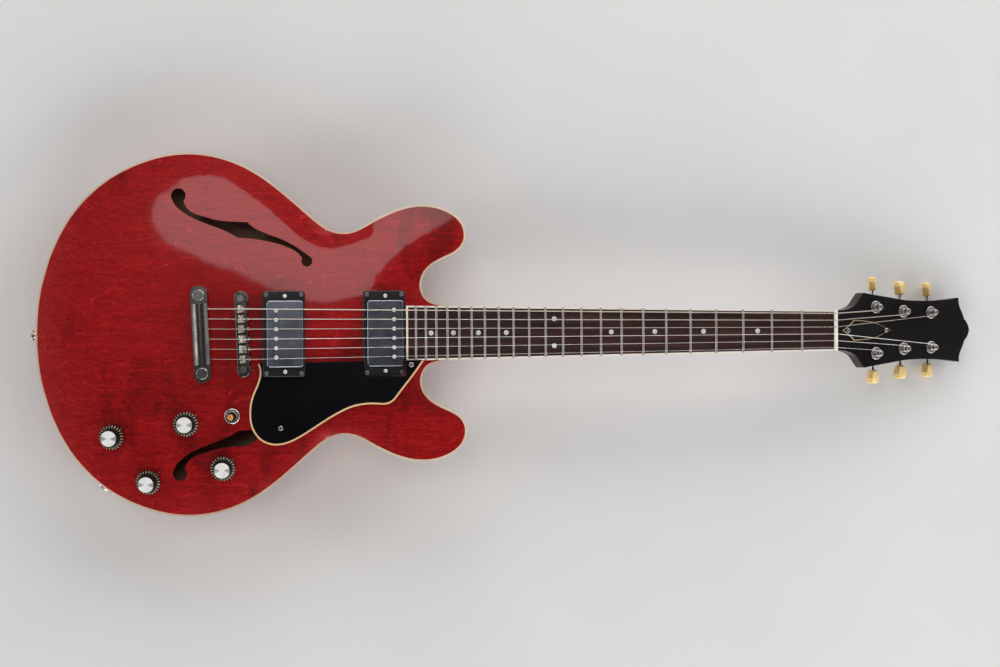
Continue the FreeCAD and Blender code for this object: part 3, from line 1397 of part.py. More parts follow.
block = block.common(inner_band.fuse(prism(outline_wire(rim_thickness), rim_depth / 2,
                                           rim_depth + arch_height)).fuse(
    prism(outline_wire(rim_thickness), -arch_height, rim_depth / 2)))
block = block.common(box(0, nose_x - rim_thickness, -block_half, block_half, -arch_height,
                         2 * rim_depth))
block = block.common(below_top_inner).common(above_back_inner)
block = block.cut(tenon).cut(board_space)
for tool in routes:
    block = block.cut(tool)
lining_ring = inner_band.cut(body_prism(rim_thickness + lining_width, 0, rim_depth,
                                        rim_thickness))
block_space = box(0, body_length + overrun, -block_half, block_half, -arch_height,
                  2 * rim_depth)
linings = []
for low in (plate_thickness, rim_depth - plate_thickness - lining_height):
    band = box(-overrun, body_length + overrun, -half_width, half_width, low,
               low + lining_height)
    linings += lining_ring.common(band).cut(block_space).Solids
edge_pieces = [top_band, back_band]

# Output jack on the rim, with its plate
tail_samples = outline_curve.discretize(Number=jack_samples)
jack_point = min((p for p in tail_samples if p.y > half_width / 2),
                 key=lambda p: abs(p.x - jack_from_tail))
jack_parameter = outline_curve.parameter(jack_point)
jack_tangent = outline_curve.tangent(jack_parameter)[0]
jack_out = Vec(-jack_tangent.y, -jack_tangent.x, 0)
# in the jack's own frame Z points out of the rim, X runs along it and Y points up
jack_along = Z_DIR.cross(jack_out)
jack_place = Place(Vec(jack_point.x, -jack_point.y, rim_depth / 2),
                   Turn(jack_along, Z_DIR, jack_out, "ZXY"))
jack_plate = rounded_box(-jack_plate_length / 2, jack_plate_length / 2, -jack_plate_height / 2,
                         jack_plate_height / 2, -rim_thickness, jack_plate_thickness,
                         jack_plate_round)
jack_fit = upright(0, 0, -jack_barrel_length, jack_plate_thickness, jack_bushing_radius)
jack_plate = jack_plate.cut(jack_fit)
jack_plate = placed(jack_plate, jack_place).cut(side_band).cut(edge_pieces[0]).cut(
    edge_pieces[1]).cut(prism(outline_wire(rim_thickness), 0, rim_depth))
jack_nut = upright(0, 0, jack_plate_thickness, jack_plate_thickness + jack_nut_height,
                   jack_nut_radius)
jack_body = joined([upright(0, 0, -rim_thickness - jack_barrel_length, -rim_thickness,
                            jack_barrel_radius), upright(0, 0, -rim_thickness,
                                                         jack_plate_thickness + jack_nut_height,
                                                         jack_bushing_radius)])
jack_bore = upright(0, 0, jack_plate_thickness + jack_nut_height - jack_bore_length,
                    jack_plate_thickness + jack_nut_height + overrun, jack_bore_radius)
jack_nut = jack_nut.cut(upright(0, 0, 0, rim_thickness + jack_nut_height * 2,
                                jack_bushing_radius))
jack_body = placed(jack_body.cut(jack_bore), jack_place)
jack_screws = []
for end in (1, -1):
    offset = Vec(end * jack_screw_spacing / 2, 0, jack_plate_thickness)
    jack_screws.append(placed(screw(ring_screw_head_radius, ring_screw_head, ring_screw_radius,
                                    rim_thickness + jack_plate_thickness, slot_width / 2),
                              jack_place.multiply(Place(offset, Turn()))))
jack_clear = placed(upright(0, 0, -rim_thickness - jack_barrel_length - overrun,
                            jack_plate_thickness, jack_barrel_radius + hole_clearance),
                    jack_place)
jack_thread = placed(upright(0, 0, -2 * rim_thickness, rim_thickness,
                             jack_bushing_radius), jack_place)
rim = rim.cut(jack_thread)
linings = [piece.cut(jack_clear) for piece in linings]
jack_body = jack_body.cut(side_band.cut(inner_band).cut(jack_thread))
for piece in jack_screws:
    jack_plate = jack_plate.cut(piece)
    rim = rim.cut(piece)

# Strap buttons: one at the tail and one on the heel
trim_screws = []


def strap_button(place, screw_length):
    base = Part.makeCone(strap_button_base_radius, strap_button_waist, strap_button_height / 3)
    waist = upright(0, 0, 0, strap_button_height, strap_button_waist)
    flange = upright(0, 0, strap_button_height - strap_button_flange, strap_button_height,
                     strap_button_radius)
    flange = flange.makeFillet(strap_button_flange / 3, flange.Edges)
    piece = joined([base, waist, flange, upright(0, 0, -rim_thickness, 0,
                                                 strap_button_base_radius)])
    fastener = placed(screw(strap_screw_head_radius, strap_button_flange / 2,
                            wood_screw_radius, screw_length + strap_button_height,
                            slot_width), Place(Vec(0, 0, strap_button_height), Turn()))
    return placed(piece.cut(fastener), place), placed(fastener, place)


tail_button, tail_screw = strap_button(Place(Vec(0, 0, rim_depth / 2), Turn(Y_DIR, -90)),
                                      wood_screw_length)
tail_button = tail_button.cut(prism(outline_wire(0), 0, rim_depth))
heel_x = nose_x + strap_button_heel_from_nose
heel_surface = 0
for sample in range(int(rim_depth)):
    if not neck_wood.isInside(Vec(heel_x, 0, rim_depth - sample), running_clearance, True):
        heel_surface = rim_depth - sample
        if sample > rim_depth / 3:
            break
heel_button, heel_screw = strap_button(Place(Vec(heel_x, 0, heel_surface), Turn(Y_DIR, 180)),
                                       heel_screw_length)
heel_button = heel_button.cut(neck_wood)
neck_wood = neck_wood.cut(heel_screw)
rim = rim.cut(tail_screw)
block = block.cut(tail_screw)
strap_buttons = [tail_button, heel_button]
trim_screws += [tail_screw, heel_screw]

# Pickguard on two standoffs, with a pale edge under its black face
def guard_wire(grow):
    points = [Vec(body_length * sx, half_width * sy, 0) for sx, sy in guard_end_shares]
    around = sum(p.x * q.y - q.x * p.y for p, q in zip(points, points[1:] + points[:1]))
    side = 1 if around > 0 else -1
    moved = []
    for index, point in enumerate(points):
        before = points[max(index - 1, 0)]
        after = points[min(index + 1, len(points) - 1)]
        run = (after - before).normalize()
        outward = Vec(run.y, -run.x, 0) * side
        moved.append(point + outward * grow)
    curve = spline(moved).toShape()
    return Part.Wire([curve, Part.makeLine(moved[-1], moved[0])])


guard = prism(guard_wire(-guard_edge), guard_height, guard_height + guard_thickness)
guard_rim = prism(guard_wire(0), guard_height, guard_height + guard_thickness).cut(guard)
for tool in ring_spaces + [placed(box(-half_body - overrun, half_body + overrun,
                                      -half_bridge - overrun, half_bridge + overrun, 0,
                                      3 * rim_depth), bridge_place)]:
    guard = guard.cut(tool)
    guard_rim = guard_rim.cut(tool)
guard_rims = [piece for piece in guard_rim.Solids if piece.Volume > guard_thickness ** 3 * 2]
standoffs = []
for x, y in guard_screw_places:
    standoff = upright(x, y, rim_depth, guard_height, guard_standoff_radius).cut(below_top)
    fastener = placed(screw(guard_screw_head_radius, ring_screw_head, guard_screw_radius,
                            guard_screw_length, slot_width / 2),
                      Place(Vec(x, y, guard_height + guard_thickness), Turn()))
    trim_screws.append(fastener)
    standoffs.append(standoff.cut(fastener))
    guard = guard.cut(fastener)
    top_plate = top_plate.cut(fastener)
    block = block.cut(fastener)
guard_pieces = sorted(guard.Solids, key=lambda piece: -piece.Volume)
nodes["pickguard"] = Part.makeCompound([guard_pieces[0]] + standoffs)
nodes["plastic_edges"] = Part.makeCompound(guard_rims + [rod_cover_rim])

# Holes for what stands in the top
for tool in bridge_sockets + pickup_screws:
    top_plate = top_plate.cut(tool)
    block = block.cut(tool)
pot_pieces = []
trim_pieces = []
for kind, first, second in pots:
    if kind == "pot":
        body = sorted(first.cut(top_plate).Solids, key=lambda piece: -piece.Volume)[0]
        pot_pieces += [body, second]
    else:
        trim_pieces += [first, second]
frame_world = placed(frame.cut(frame_room).cut(cone).cut(down), switch_seat)
frame_world = frame_world.cut(top_plate)
frame_world = frame_world.cut(placed(thread, switch_seat))
frame_world = sorted(frame_world.Solids, key=lambda piece: -piece.Volume)[0]
switch_nut = placed(collar_nut, switch_seat).cut(below_top)
switch_nut = sorted(switch_nut.Solids, key=lambda piece: -piece.Volume)[0]
nodes["control_hardware"] = Part.makeCompound(
    pot_pieces + trim_pieces + [frame_world, placed(thread, switch_seat), switch_nut])
nodes["bridge_and_tailpiece_studs"] = Part.makeCompound(bridge_posts + wheels + studs)


def rim_strips(band):
    """The rim's wood, divided into strips that meet end to end."""
    beyond = half_width + overrun
    stations = [-overrun] + [body_length * share for share in rim_joint_shares]
    cells = [(low, high, 0, beyond) for low, high in zip(stations, stations[1:])]
    levels = [beyond] + [half_width * share for share in cutaway_joint_shares] + [0]
    cells += [(stations[-1], body_length + overrun, low, high)
              for high, low in zip(levels, levels[1:])]
    strips = []
    for x0, x1, y0, y1 in cells:
        cell = box(x0, x1, y0, y1, -overrun, rim_depth + overrun)
        for room in (cell, mirrored(cell)):
            strips += band.common(room).Solids
    return strips


nodes["output_jack"] = Part.makeCompound([jack_plate, placed(jack_nut, jack_place), jack_body])
nodes["strap_buttons_and_screws"] = Part.makeCompound(
    strap_buttons + trim_screws + jack_screws + cover_screws)
nodes["top_plate"] = top_plate
nodes["back_plate"] = back_plate
nodes["rim"] = Part.makeCompound(rim_strips(rim))
nodes["body_binding"] = Part.makeCompound(edge_pieces)
nodes["linings"] = Part.makeCompound(linings)
nodes["centre_block"] = block
nodes["neck"] = neck_wood

# The guitar lies on its back: it leans until the back and either the lowest tuner button or
# the headstock's tip touch down
button_reach = button_width / 2
button_floor = head_place.multVec(Vec(post_from_nut[-1] + worm_offset, 0, worm_level))
tip_floor = head_place.multVec(Vec(head_length, 0, -head_thickness))
lie = 0.0
for _ in range(lie_rounds):
    tilt = math.radians(lie)
    lowest = min((x * math.sin(tilt) - arch_rise[i][j] * math.cos(tilt), x, arch_rise[i][j])
                 for i, x in enumerate(arch_xs) for j in range(arch_grid_y)
                 if arch_rise[i][j] > 0)
    lie = max(math.degrees(math.atan2(-lowest[2] - (point.z - reach / math.cos(tilt)),
                                      point.x - lowest[1]))
              for point, reach in ((button_floor, button_reach), (tip_floor, 0)))
lay_down = Turn(Y_DIR, -lie)
extent = Part.makeCompound([placed(nodes[name], Place(Vec(0, 0, 0), lay_down))
                            for name in ("strap_buttons_and_screws", "headstock_veneer",
                                         "back_plate")])
spread = extent.optimalBoundingBox(False, False)
ground = Place(Vec(-(spread.XMin + spread.XMax) / 2, 0, -spread.ZMin), lay_down)
if spread.ZMin > 0:
    print("the back does not reach down")
os.makedirs("parts", exist_ok=True)
for name, shape in nodes.items():
    placed(shape, ground).exportStep("parts/%s.step" % name)


def report(label, place):
    whole = ground.multiply(place)
    axis = whole.Rotation.multVec(Z_DIR)
    print(label, [round(value, 3) for value in whole.Base],
          [round(value, report_digits) for value in axis])


print("lie", round(lie, 4), "nodes", len(nodes))
print("ground", [round(value, 4) for value in ground.Base])
for number, place in enumerate(knob_axes):
    report("knob_%d" % (number + 1), place)
report("switch", switch_seat.multiply(Place(Vec(0, 0, pivot_level), Turn())))
report("switch hinge", switch_seat.multiply(Place(Vec(0, 0, pivot_level), Turn(X_DIR, -90))))
report("jack", jack_place.multiply(Place(Vec(0, 0, jack_plate_thickness + jack_nut_height
                                             - jack_bore_length / 2), Turn())))
report("tail_button", Place(Vec(-strap_button_height, 0, rim_depth / 2), Turn(Y_DIR, -90)))
report("heel_button", Place(Vec(heel_x, 0, heel_surface - strap_button_height),
                            Turn(Y_DIR, 180)))
for index, side, x, y in posts:
    number = index + 1 if side > 0 else string_count - index
    report("post_%d" % number, head_place.multiply(Place(Vec(x, y, worm_level), Turn())))
    report("key_%d" % number, head_place.multiply(
        Place(Vec(x + worm_offset, y, worm_level), Turn(X_DIR, -90 * side))))
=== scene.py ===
import json
import math

import bpy
import bmesh
from mathutils import Matrix, Quaternion, Vector


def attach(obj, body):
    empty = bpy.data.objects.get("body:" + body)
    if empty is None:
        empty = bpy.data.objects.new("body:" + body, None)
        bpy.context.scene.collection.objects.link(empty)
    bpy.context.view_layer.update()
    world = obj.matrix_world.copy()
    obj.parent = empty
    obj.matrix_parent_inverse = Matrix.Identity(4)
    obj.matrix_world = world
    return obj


# A semi-hollow electric guitar lying on its back on a pale floor, seen from above.
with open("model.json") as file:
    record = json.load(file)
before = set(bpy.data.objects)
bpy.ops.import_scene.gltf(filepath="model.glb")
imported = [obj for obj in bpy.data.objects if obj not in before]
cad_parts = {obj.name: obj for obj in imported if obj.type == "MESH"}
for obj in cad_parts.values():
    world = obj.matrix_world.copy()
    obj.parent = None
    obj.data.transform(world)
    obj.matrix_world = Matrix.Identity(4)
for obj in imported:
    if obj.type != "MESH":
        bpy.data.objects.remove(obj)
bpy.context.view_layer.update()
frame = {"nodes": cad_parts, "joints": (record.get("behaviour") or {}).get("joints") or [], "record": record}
nodes = frame["nodes"]
record = frame["record"]
joints = {joint["name"]: joint for joint in frame["joints"]}

MM = 0.001
KNOBS = range(1, 5)
TUNERS = range(1, 7)

# The guitar's own frame: X from the tail to the neck, Y to the bass side, Z up
tail_mount = next(mount for mount in record["mounts"] if mount["name"] == "tail_strap_button")
lie = math.atan2(-tail_mount["axis"][2], -tail_mount["axis"][0])
TAIL_BUTTON_END = Vector((-8.6, 0.0, 22.25)) * MM
turn_down = Matrix.Rotation(-lie, 4, "Y")
tail_end = Vector(tail_mount["pos_m"])
guitar_place = Matrix.Translation(tail_end - turn_down @ TAIL_BUTTON_END) @ turn_down

# Camera
CAMERA_PLACE = Vector((0.42776, -0.0010, 2.0135))
CAMERA_LEAN = math.radians(1.8)
CAMERA_ROLL = math.radians(0.372)
LENS = 66.80
SENSOR_WIDTH = 36.0
NEAREST = 0.05
FARTHEST = 60.0

camera_data = bpy.data.cameras.new("camera")
camera_data.lens = LENS
camera_data.sensor_width = SENSOR_WIDTH
camera_data.clip_start = NEAREST
camera_data.clip_end = FARTHEST
camera = bpy.data.objects.new("camera", camera_data)
bpy.context.scene.collection.objects.link(camera)
level = Vector((math.cos(CAMERA_LEAN), 0.0, math.sin(CAMERA_LEAN)))
side = Vector((0.0, 1.0, 0.0))
right = level * math.cos(CAMERA_ROLL) - side * math.sin(CAMERA_ROLL)
up = side * math.cos(CAMERA_ROLL) + level * math.sin(CAMERA_ROLL)
back = right.cross(up)
camera_turn = Matrix((right, up, back)).transposed().to_4x4()
camera.matrix_world = guitar_place @ Matrix.Translation(CAMERA_PLACE) @ camera_turn
bpy.context.scene.camera = camera


# Surfaces, and the numbers of the sockets that a colour mix uses
MIX_SHARE = 0
MIX_FIRST = 6
MIX_SECOND = 7
MIX_RESULT = 2


def opaque(colour):
    """A colour of three numbers as a solid one of four. A socket stays as it is."""
    return colour if isinstance(colour, bpy.types.NodeSocket) else tuple(colour) + (1.0,)


class Surface:
    """A node material on one Principled shader, with short calls for its patterns."""

    def __init__(self, name, colour, roughness=0.4, metallic=0.0, coat=0.0,
                 coat_roughness=0.03, specular=0.5, **more):
        self.material = bpy.data.materials.new(name)
        self.material.use_nodes = True
        self.tree = self.material.node_tree
        self.tree.nodes.clear()
        self.output = self.tree.nodes.new("ShaderNodeOutputMaterial")
        self.shader = self.tree.nodes.new("ShaderNodeBsdfPrincipled")
        self.tree.links.new(self.shader.outputs[0], self.output.inputs[0])
        self.set("Base Color", opaque(colour))
        self.set("Roughness", roughness)
        self.set("Metallic", metallic)
        self.set("Coat Weight", coat)
        self.set("Coat Roughness", coat_roughness)
        self.set("Specular IOR Level", specular)
        for socket, value in more.items():
            self.set(socket.replace("_", " "), value)
        self.coordinates = self.add("ShaderNodeTexCoord").outputs["Object"]

    def set(self, socket, value):
        """Give the shader's socket one value for the whole surface."""
        self.shader.inputs[socket].default_value = value

    def join(self, socket, source):
        """Let a pattern drive the shader's socket."""
        self.tree.links.new(source, self.shader.inputs[socket])

    def add(self, kind, links=(), **settings):
        """A new node: links are its sockets' values or sources, settings its own choices."""
        node = self.tree.nodes.new(kind)
        for key, value in settings.items():
            setattr(node, key, value)
        for key, value in dict(links).items():
            if isinstance(value, bpy.types.NodeSocket):
                self.tree.links.new(value, node.inputs[key])
            else:
                node.inputs[key].default_value = value
        return node

    def stretched(self, scale=1.0, turn=(0.0, 0.0, 0.0), shift=(0.0, 0.0, 0.0), source=None):
        """The place on the surface, scaled by one number or three, turned and shifted."""
        scales = scale if isinstance(scale, tuple) else (scale, scale, scale)
        return self.add("ShaderNodeMapping", {
            "Vector": source or self.coordinates, "Scale": scales, "Rotation": turn,
            "Location": shift}).outputs[0]

    def noise(self, scale, detail=3.0, rough=0.55, distortion=0.0, source=None, **place):
        vector = self.stretched(scale, source=source, **place)
        return self.add("ShaderNodeTexNoise", {
            "Vector": vector, "Scale": 1.0, "Detail": detail, "Roughness": rough,
            "Distortion": distortion}).outputs["Fac"]

    def cells(self, scale):
        """Soft-edged cells, as the distance from each cell's middle."""
        links = {"Vector": self.stretched(scale), "Scale": 1.0}
        return self.add("ShaderNodeTexVoronoi", links, feature="SMOOTH_F1").outputs["Distance"]

    def bands(self, scale):
        """Even bands across X."""
        links = {"Vector": self.stretched(scale), "Scale": 1.0, "Distortion": 0.0}
        return self.add("ShaderNodeTexWave", links, bands_direction="X").outputs["Fac"]

    def work_out(self, kind, first, second=0.0):
        """One step of arithmetic on two values or sockets."""
        return self.add("ShaderNodeMath", {0: first, 1: second}, operation=kind).outputs[0]

    def span(self, source, low, high, to_low=0.0, to_high=1.0):
        """The share of source between low and high, as a value from to_low to to_high."""
        return self.add("ShaderNodeMapRange", {
            "Value": source, "From Min": low, "From Max": high, "To Min": to_low,
            "To Max": to_high}, clamp=True).outputs[0]

    def ramp(self, source, *stops):
        """A value turned into a colour by stops of place and colour."""
        node = self.add("ShaderNodeValToRGB", {"Fac": source})
        elements = node.color_ramp.elements
        while len(elements) < len(stops):
            elements.new(0.5)
        for element, (place, colour) in zip(elements, stops):
            element.position = place
            element.color = opaque(colour)
        return node.outputs[0]

    def mix(self, share, first, second):
        """The first colour, or by the share the second one."""
        links = {MIX_SHARE: share, MIX_FIRST: opaque(first), MIX_SECOND: opaque(second)}
        return self.add("ShaderNodeMix", links, data_type="RGBA").outputs[MIX_RESULT]

    def colour_so_far(self):
        return self.shader.inputs["Base Color"].links[0].from_socket

    def rise(self, height, depth, strength=1.0):
        """A normal raised by a height pattern of a depth in metres."""
        return self.add("ShaderNodeBump", {
            "Height": height, "Distance": depth, "Strength": strength}).outputs[0]

    def facing(self):
        """The surface's own direction at rest, as three numbers."""
        normal = self.add("ShaderNodeNewGeometry").outputs["True Normal"]
        return self.add("ShaderNodeSeparateXYZ", {"Vector": normal}).outputs

    def axes_in(self, place):
        """The spot on the surface, measured in a frame, as three numbers."""
        inward = place.inverted()
        measured = self.stretched(turn=inward.to_euler(), shift=inward.to_translation())
        return self.add("ShaderNodeSeparateXYZ", {"Vector": measured}).outputs

    def from_axis(self, place):
        """The distance from a frame's Z axis."""
        axes = self.axes_in(place)
        squares = [self.work_out("MULTIPLY", axes[index], axes[index]) for index in (0, 1)]
        return self.work_out("SQRT", self.work_out("ADD", *squares))

    def dress(self, *names):
        """Put the material on the named pieces."""
        for name in names:
            shape = nodes.get(name) or bpy.data.objects[name]
            if shape.material_slots:
                for place in shape.material_slots:
                    place.material = self.material
            else:
                shape.data.materials.append(self.material)


def frame_on(spot, axis):
    """The frame with its origin on a spot and Z along an axis."""
    axis = Vector(axis).normalized()
    ahead = (Vector((1.0, 0.0, 0.0)) - axis * axis.x).normalized()
    across = axis.cross(ahead)
    turn = Matrix((ahead, across, axis)).transposed().to_4x4()
    return Matrix.Translation(Vector(spot)) @ turn


HAIRLINE_SCALE = 900.0
HAIRLINE_STRETCH = 0.06
HAIRLINE_TURNS = (0.35, 1.25, 2.3)
HAIRLINE_SEED_STEP = 0.37


def scratches(surface, seed):
    """Fine crossing hairlines, as a value from 0 to 1."""
    lines = None
    for number, turn in enumerate(HAIRLINE_TURNS):
        layer = surface.noise((HAIRLINE_SCALE * HAIRLINE_STRETCH, HAIRLINE_SCALE, HAIRLINE_SCALE),
                              detail=2.0, rough=0.6, turn=(0.3 * number, 0.2, turn + seed),
                              shift=(seed, number, 0.0))
        line = surface.span(layer, 0.66, 0.74)
        lines = line if lines is None else surface.work_out("MAXIMUM", lines, line)
    return lines


# Cherry red lacquer over laminated maple
CHERRY_DEEP = (0.112, 0.0007, 0.0016)
CHERRY = (0.288, 0.0012, 0.0030)
CHERRY_LIGHT = (0.520, 0.0150, 0.0150)
RAW_MAPLE = (0.62, 0.46, 0.29)
CONTOUR_STEPS = 34.0


def cherry_grain(surface, vector=None):
    """Rotary-cut maple under red lacquer: flecks along the grain, wandering contour lines
    and soft dark clouds."""
    fleck = surface.noise((110.0, 760.0, 760.0), detail=3.0, rough=0.75, source=vector)
    streak = surface.noise((16.0, 260.0, 260.0), detail=3.0, distortion=0.3, source=vector)
    field = surface.noise((4.6, 9.5, 9.5), detail=2.0, rough=0.45, distortion=1.3,
                          source=vector, shift=(3.1, 1.7, 0.4))
    contour = surface.work_out("PINGPONG", surface.work_out("MULTIPLY", field, CONTOUR_STEPS),
                               1.0)
    line = surface.span(contour, 0.90, 1.0)
    broken = surface.noise(75.0, detail=2.0, source=vector)
    line = surface.work_out("MULTIPLY", line, surface.span(broken, 0.44, 0.60))
    cloud = surface.noise((15.0, 6.0, 6.0), detail=3.0, distortion=1.4, source=vector,
                          shift=(0.7, 4.2, 2.0))
    tone = surface.work_out("ADD", surface.work_out("MULTIPLY", fleck, 0.72),
                            surface.work_out("MULTIPLY", streak, 0.28))
    tone = surface.work_out("ADD", tone, surface.work_out("MULTIPLY", line, 0.26))
    tone = surface.work_out("SUBTRACT", tone, surface.span(cloud, 0.56, 0.78, 0.0, 0.24))
    colour = surface.ramp(tone, (0.28, CHERRY_DEEP), (0.50, CHERRY), (0.80, CHERRY_LIGHT))
    return colour, fleck


RED_SHEEN = (1.0, 0.24, 0.22, 1.0)


def lacquered_maple(name, grain_follows=None):
    """Cherry maple under gloss. grain_follows makes the vector that its grain runs on."""
    red = Surface(name, CHERRY, roughness=0.38, coat=1.0, coat_roughness=0.055, specular=0.9,
                  Specular_Tint=RED_SHEEN)
    colour, fleck = cherry_grain(red, grain_follows(red) if grain_follows else None)
    ripple = red.noise(26.0, detail=2.0)
    red.join("Base Color", colour)
    red.join("Roughness", red.span(fleck, 0.3, 0.7, 0.32, 0.46))
    red.join("Coat Normal", red.rise(ripple, 0.0006, 0.10))
    return red


# The top
top_maple = lacquered_maple("cherry_maple")
dust = top_maple.noise(900.0, detail=1.0)
top_maple.join("Normal", top_maple.rise(dust, 0.00002, 0.25))
top_maple.dress("top_plate")

# The back is bare on its inner side
OTHER_SHEET = (1.3, 0.8, 0.6)


def another_sheet(surface):
    """A different stretch of the same grain."""
    return surface.stretched(shift=OTHER_SHEET)


back_maple = lacquered_maple("cherry_maple_back", another_sheet)
bare_side = back_maple.ramp(back_maple.noise((30.0, 420.0, 420.0), detail=4.0),
                            (0.3, (0.64, 0.47, 0.30)), (0.7, (0.86, 0.67, 0.45)))
inside = back_maple.span(back_maple.facing()[2], 0.30, 0.45)
back_maple.join("Base Color", back_maple.mix(inside, back_maple.colour_so_far(), bare_side))
back_maple.dress("back_plate")

# The rim's veneer runs round the body's middle
BODY_MIDDLE_X = 0.30
BODY_MEAN_RADIUS = 0.21


def round_the_body(surface):
    """The way round the body and up its side."""
    from_middle = surface.stretched(shift=(BODY_MIDDLE_X, 0.0, 0.0))
    parts = surface.add("ShaderNodeSeparateXYZ", {"Vector": from_middle}).outputs
    turn = surface.work_out("ARCTAN2", parts[1], parts[0])
    run = surface.work_out("MULTIPLY", turn, BODY_MEAN_RADIUS)
    return surface.add("ShaderNodeCombineXYZ", {"X": run, "Y": parts[2], "Z": 0.0}).outputs[0]


lacquered_maple("cherry_maple_rim", round_the_body).dress("rim")

# Bare maple inside
bare = Surface("bare_maple", RAW_MAPLE, roughness=0.75, specular=0.25)
grain = bare.noise((24.0, 420.0, 420.0), detail=4.0, distortion=0.3)
bare.join("Base Color", bare.ramp(grain, (0.30, (0.42, 0.29, 0.17)), (0.52, (0.54, 0.39, 0.24)),
                                  (0.75, RAW_MAPLE)))
bare.join("Roughness", bare.span(grain, 0.3, 0.7, 0.68, 0.85))
bare.join("Normal", bare.rise(grain, 0.0002, 0.4))
bare.dress("centre_block", "linings")

# Cherry-stained mahogany, painted near black from the nut on as painted shade for the headstock's unlit
# sides
HEADSTOCK_SHADE_STARTS = 344 * MM
HEADSTOCK_SHADE_FULL = 362 * MM
mahogany = Surface("cherry_mahogany", (0.2, 0.01, 0.012), roughness=0.36, coat=0.35,
                   coat_roughness=0.05, specular=0.25, Specular_Tint=RED_SHEEN)
pore = mahogany.noise((70.0, 1500.0, 1500.0), detail=2.0, rough=0.7)
ribbon = mahogany.noise((9.0, 120.0, 60.0), detail=3.0, distortion=0.5)
tone = mahogany.ramp(ribbon, (0.30, (0.110, 0.0060, 0.0070)), (0.50, (0.185, 0.0085, 0.0105)),
                     (0.72, (0.270, 0.0150, 0.0170)))
open_pore = mahogany.span(pore, 0.60, 0.70)
stained = mahogany.mix(open_pore, tone, (0.055, 0.004, 0.005))
along = mahogany.add("ShaderNodeSeparateXYZ", {"Vector": mahogany.coordinates}).outputs[0]
headstock_painted_shade = mahogany.span(along, HEADSTOCK_SHADE_STARTS, HEADSTOCK_SHADE_FULL)
# Painted shade: past the nut the neck's colour goes near black
mahogany.join("Base Color", mahogany.mix(headstock_painted_shade, stained, (0.011, 0.0030, 0.0036)))
mahogany.join("Roughness", mahogany.span(ribbon, 0.3, 0.7, 0.30, 0.44))
mahogany.join("Coat Normal", mahogany.rise(
    mahogany.noise((30.0, 60.0, 60.0), detail=2.0), 0.0005, 0.12))
mahogany.dress("neck")

# Rosewood fingerboard
rosewood = Surface("rosewood", (0.05, 0.025, 0.02), roughness=0.5, specular=0.25)
pore = rosewood.noise((120.0, 2300.0, 2300.0), detail=2.0, rough=0.7)
figure = rosewood.noise((7.0, 240.0, 240.0), detail=4.0, rough=0.6, distortion=0.35)
wash = rosewood.noise((9.0, 30.0, 30.0), detail=2.0)
tone = rosewood.ramp(rosewood.work_out("ADD", rosewood.work_out("MULTIPLY", figure, 0.75),
                                       rosewood.work_out("MULTIPLY", wash, 0.25)),
                     (0.30, (0.013, 0.0062, 0.0056)), (0.50, (0.035, 0.0140, 0.0128)),
                     (0.72, (0.074, 0.0310, 0.0265)))
open_pore = rosewood.span(pore, 0.60, 0.72)
rosewood.join("Base Color", rosewood.mix(open_pore, tone, (0.008, 0.005, 0.004)))
rosewood.join("Roughness", rosewood.span(figure, 0.3, 0.7, 0.40, 0.58))
rosewood.join("Normal", rosewood.rise(open_pore, -0.00008, 0.6))
rosewood.dress("fingerboard")


def cream_plastic(name, dark, pale, *targets):
    """Cream binding, slightly yellowed."""
    cream = Surface(name, pale, roughness=0.28, coat=0.6, coat_roughness=0.05)
    age = cream.noise(9.0, detail=3.0)
    line = cream.noise(600.0, detail=2.0)
    tone = cream.ramp(age, (0.30, dark), (0.70, pale))
    cream.join("Base Color", cream.mix(cream.span(line, 0.62, 0.75, 0.0, 0.30), tone,
                                       tuple(value * 0.80 for value in dark)))
    cream.join("Roughness", cream.span(line, 0.3, 0.7, 0.24, 0.36))
    cream.dress(*targets)


cream_plastic("cream_binding", (0.74, 0.56, 0.38), (0.86, 0.70, 0.52), "body_binding")
cream_plastic("cream_edges", (0.72, 0.45, 0.21), (0.88, 0.61, 0.34), "plastic_edges")
cream_plastic("cream_board_binding", (0.84, 0.74, 0.62), (0.92, 0.86, 0.78),
              "fingerboard_binding")


def black_gloss(name, tint, roughness, *targets, marks=0.35, specular=0.5):
    """Moulded or sprayed black with a soft ripple, dust and hairlines."""
    black = Surface(name, tint, roughness=roughness, specular=specular)
    cloud = black.noise(14.0, detail=2.0)
    lines = scratches(black, len(name) * HAIRLINE_SEED_STEP)
    pale = tuple(value * 2.6 + 0.012 for value in tint)
    tone = black.ramp(cloud, (0.3, tuple(value * 0.75 for value in tint)), (0.7, tint))
    black.join("Base Color", black.mix(black.work_out("MULTIPLY", lines, marks), tone, pale))
    black.join("Roughness", black.work_out("ADD", black.span(cloud, 0.3, 0.7, roughness * 0.85,
                                                             roughness * 1.15),
                                           black.work_out("MULTIPLY", lines, 0.12)))
    black.join("Normal", black.rise(black.noise(60.0, detail=2.0), 0.0002, 0.12))
    black.dress(*targets)


black_gloss("headstock_black", (0.0052, 0.0034, 0.0040), 0.42, "headstock_veneer", marks=0.1,
            specular=0.15)
black_gloss("cover_black", (0.0060, 0.0060, 0.0072), 0.24, "truss_rod_cover")
black_gloss("pickguard_black", (0.0042, 0.0040, 0.0054), 0.16, "pickguard", marks=0.08,
            specular=0.3)
black_gloss("ring_black", (0.0080, 0.0080, 0.0092), 0.36, "pickup_rings")
black_gloss("core_black", (0.0110, 0.0105, 0.0100), 0.55, "pickup_cores", marks=0.1)
black_gloss("knob_black", (0.0040, 0.0037, 0.0038), 0.42,
            *["knob_%d" % number for number in KNOBS], marks=0.05, specular=0.2)

POLISH_LINES = 700.0


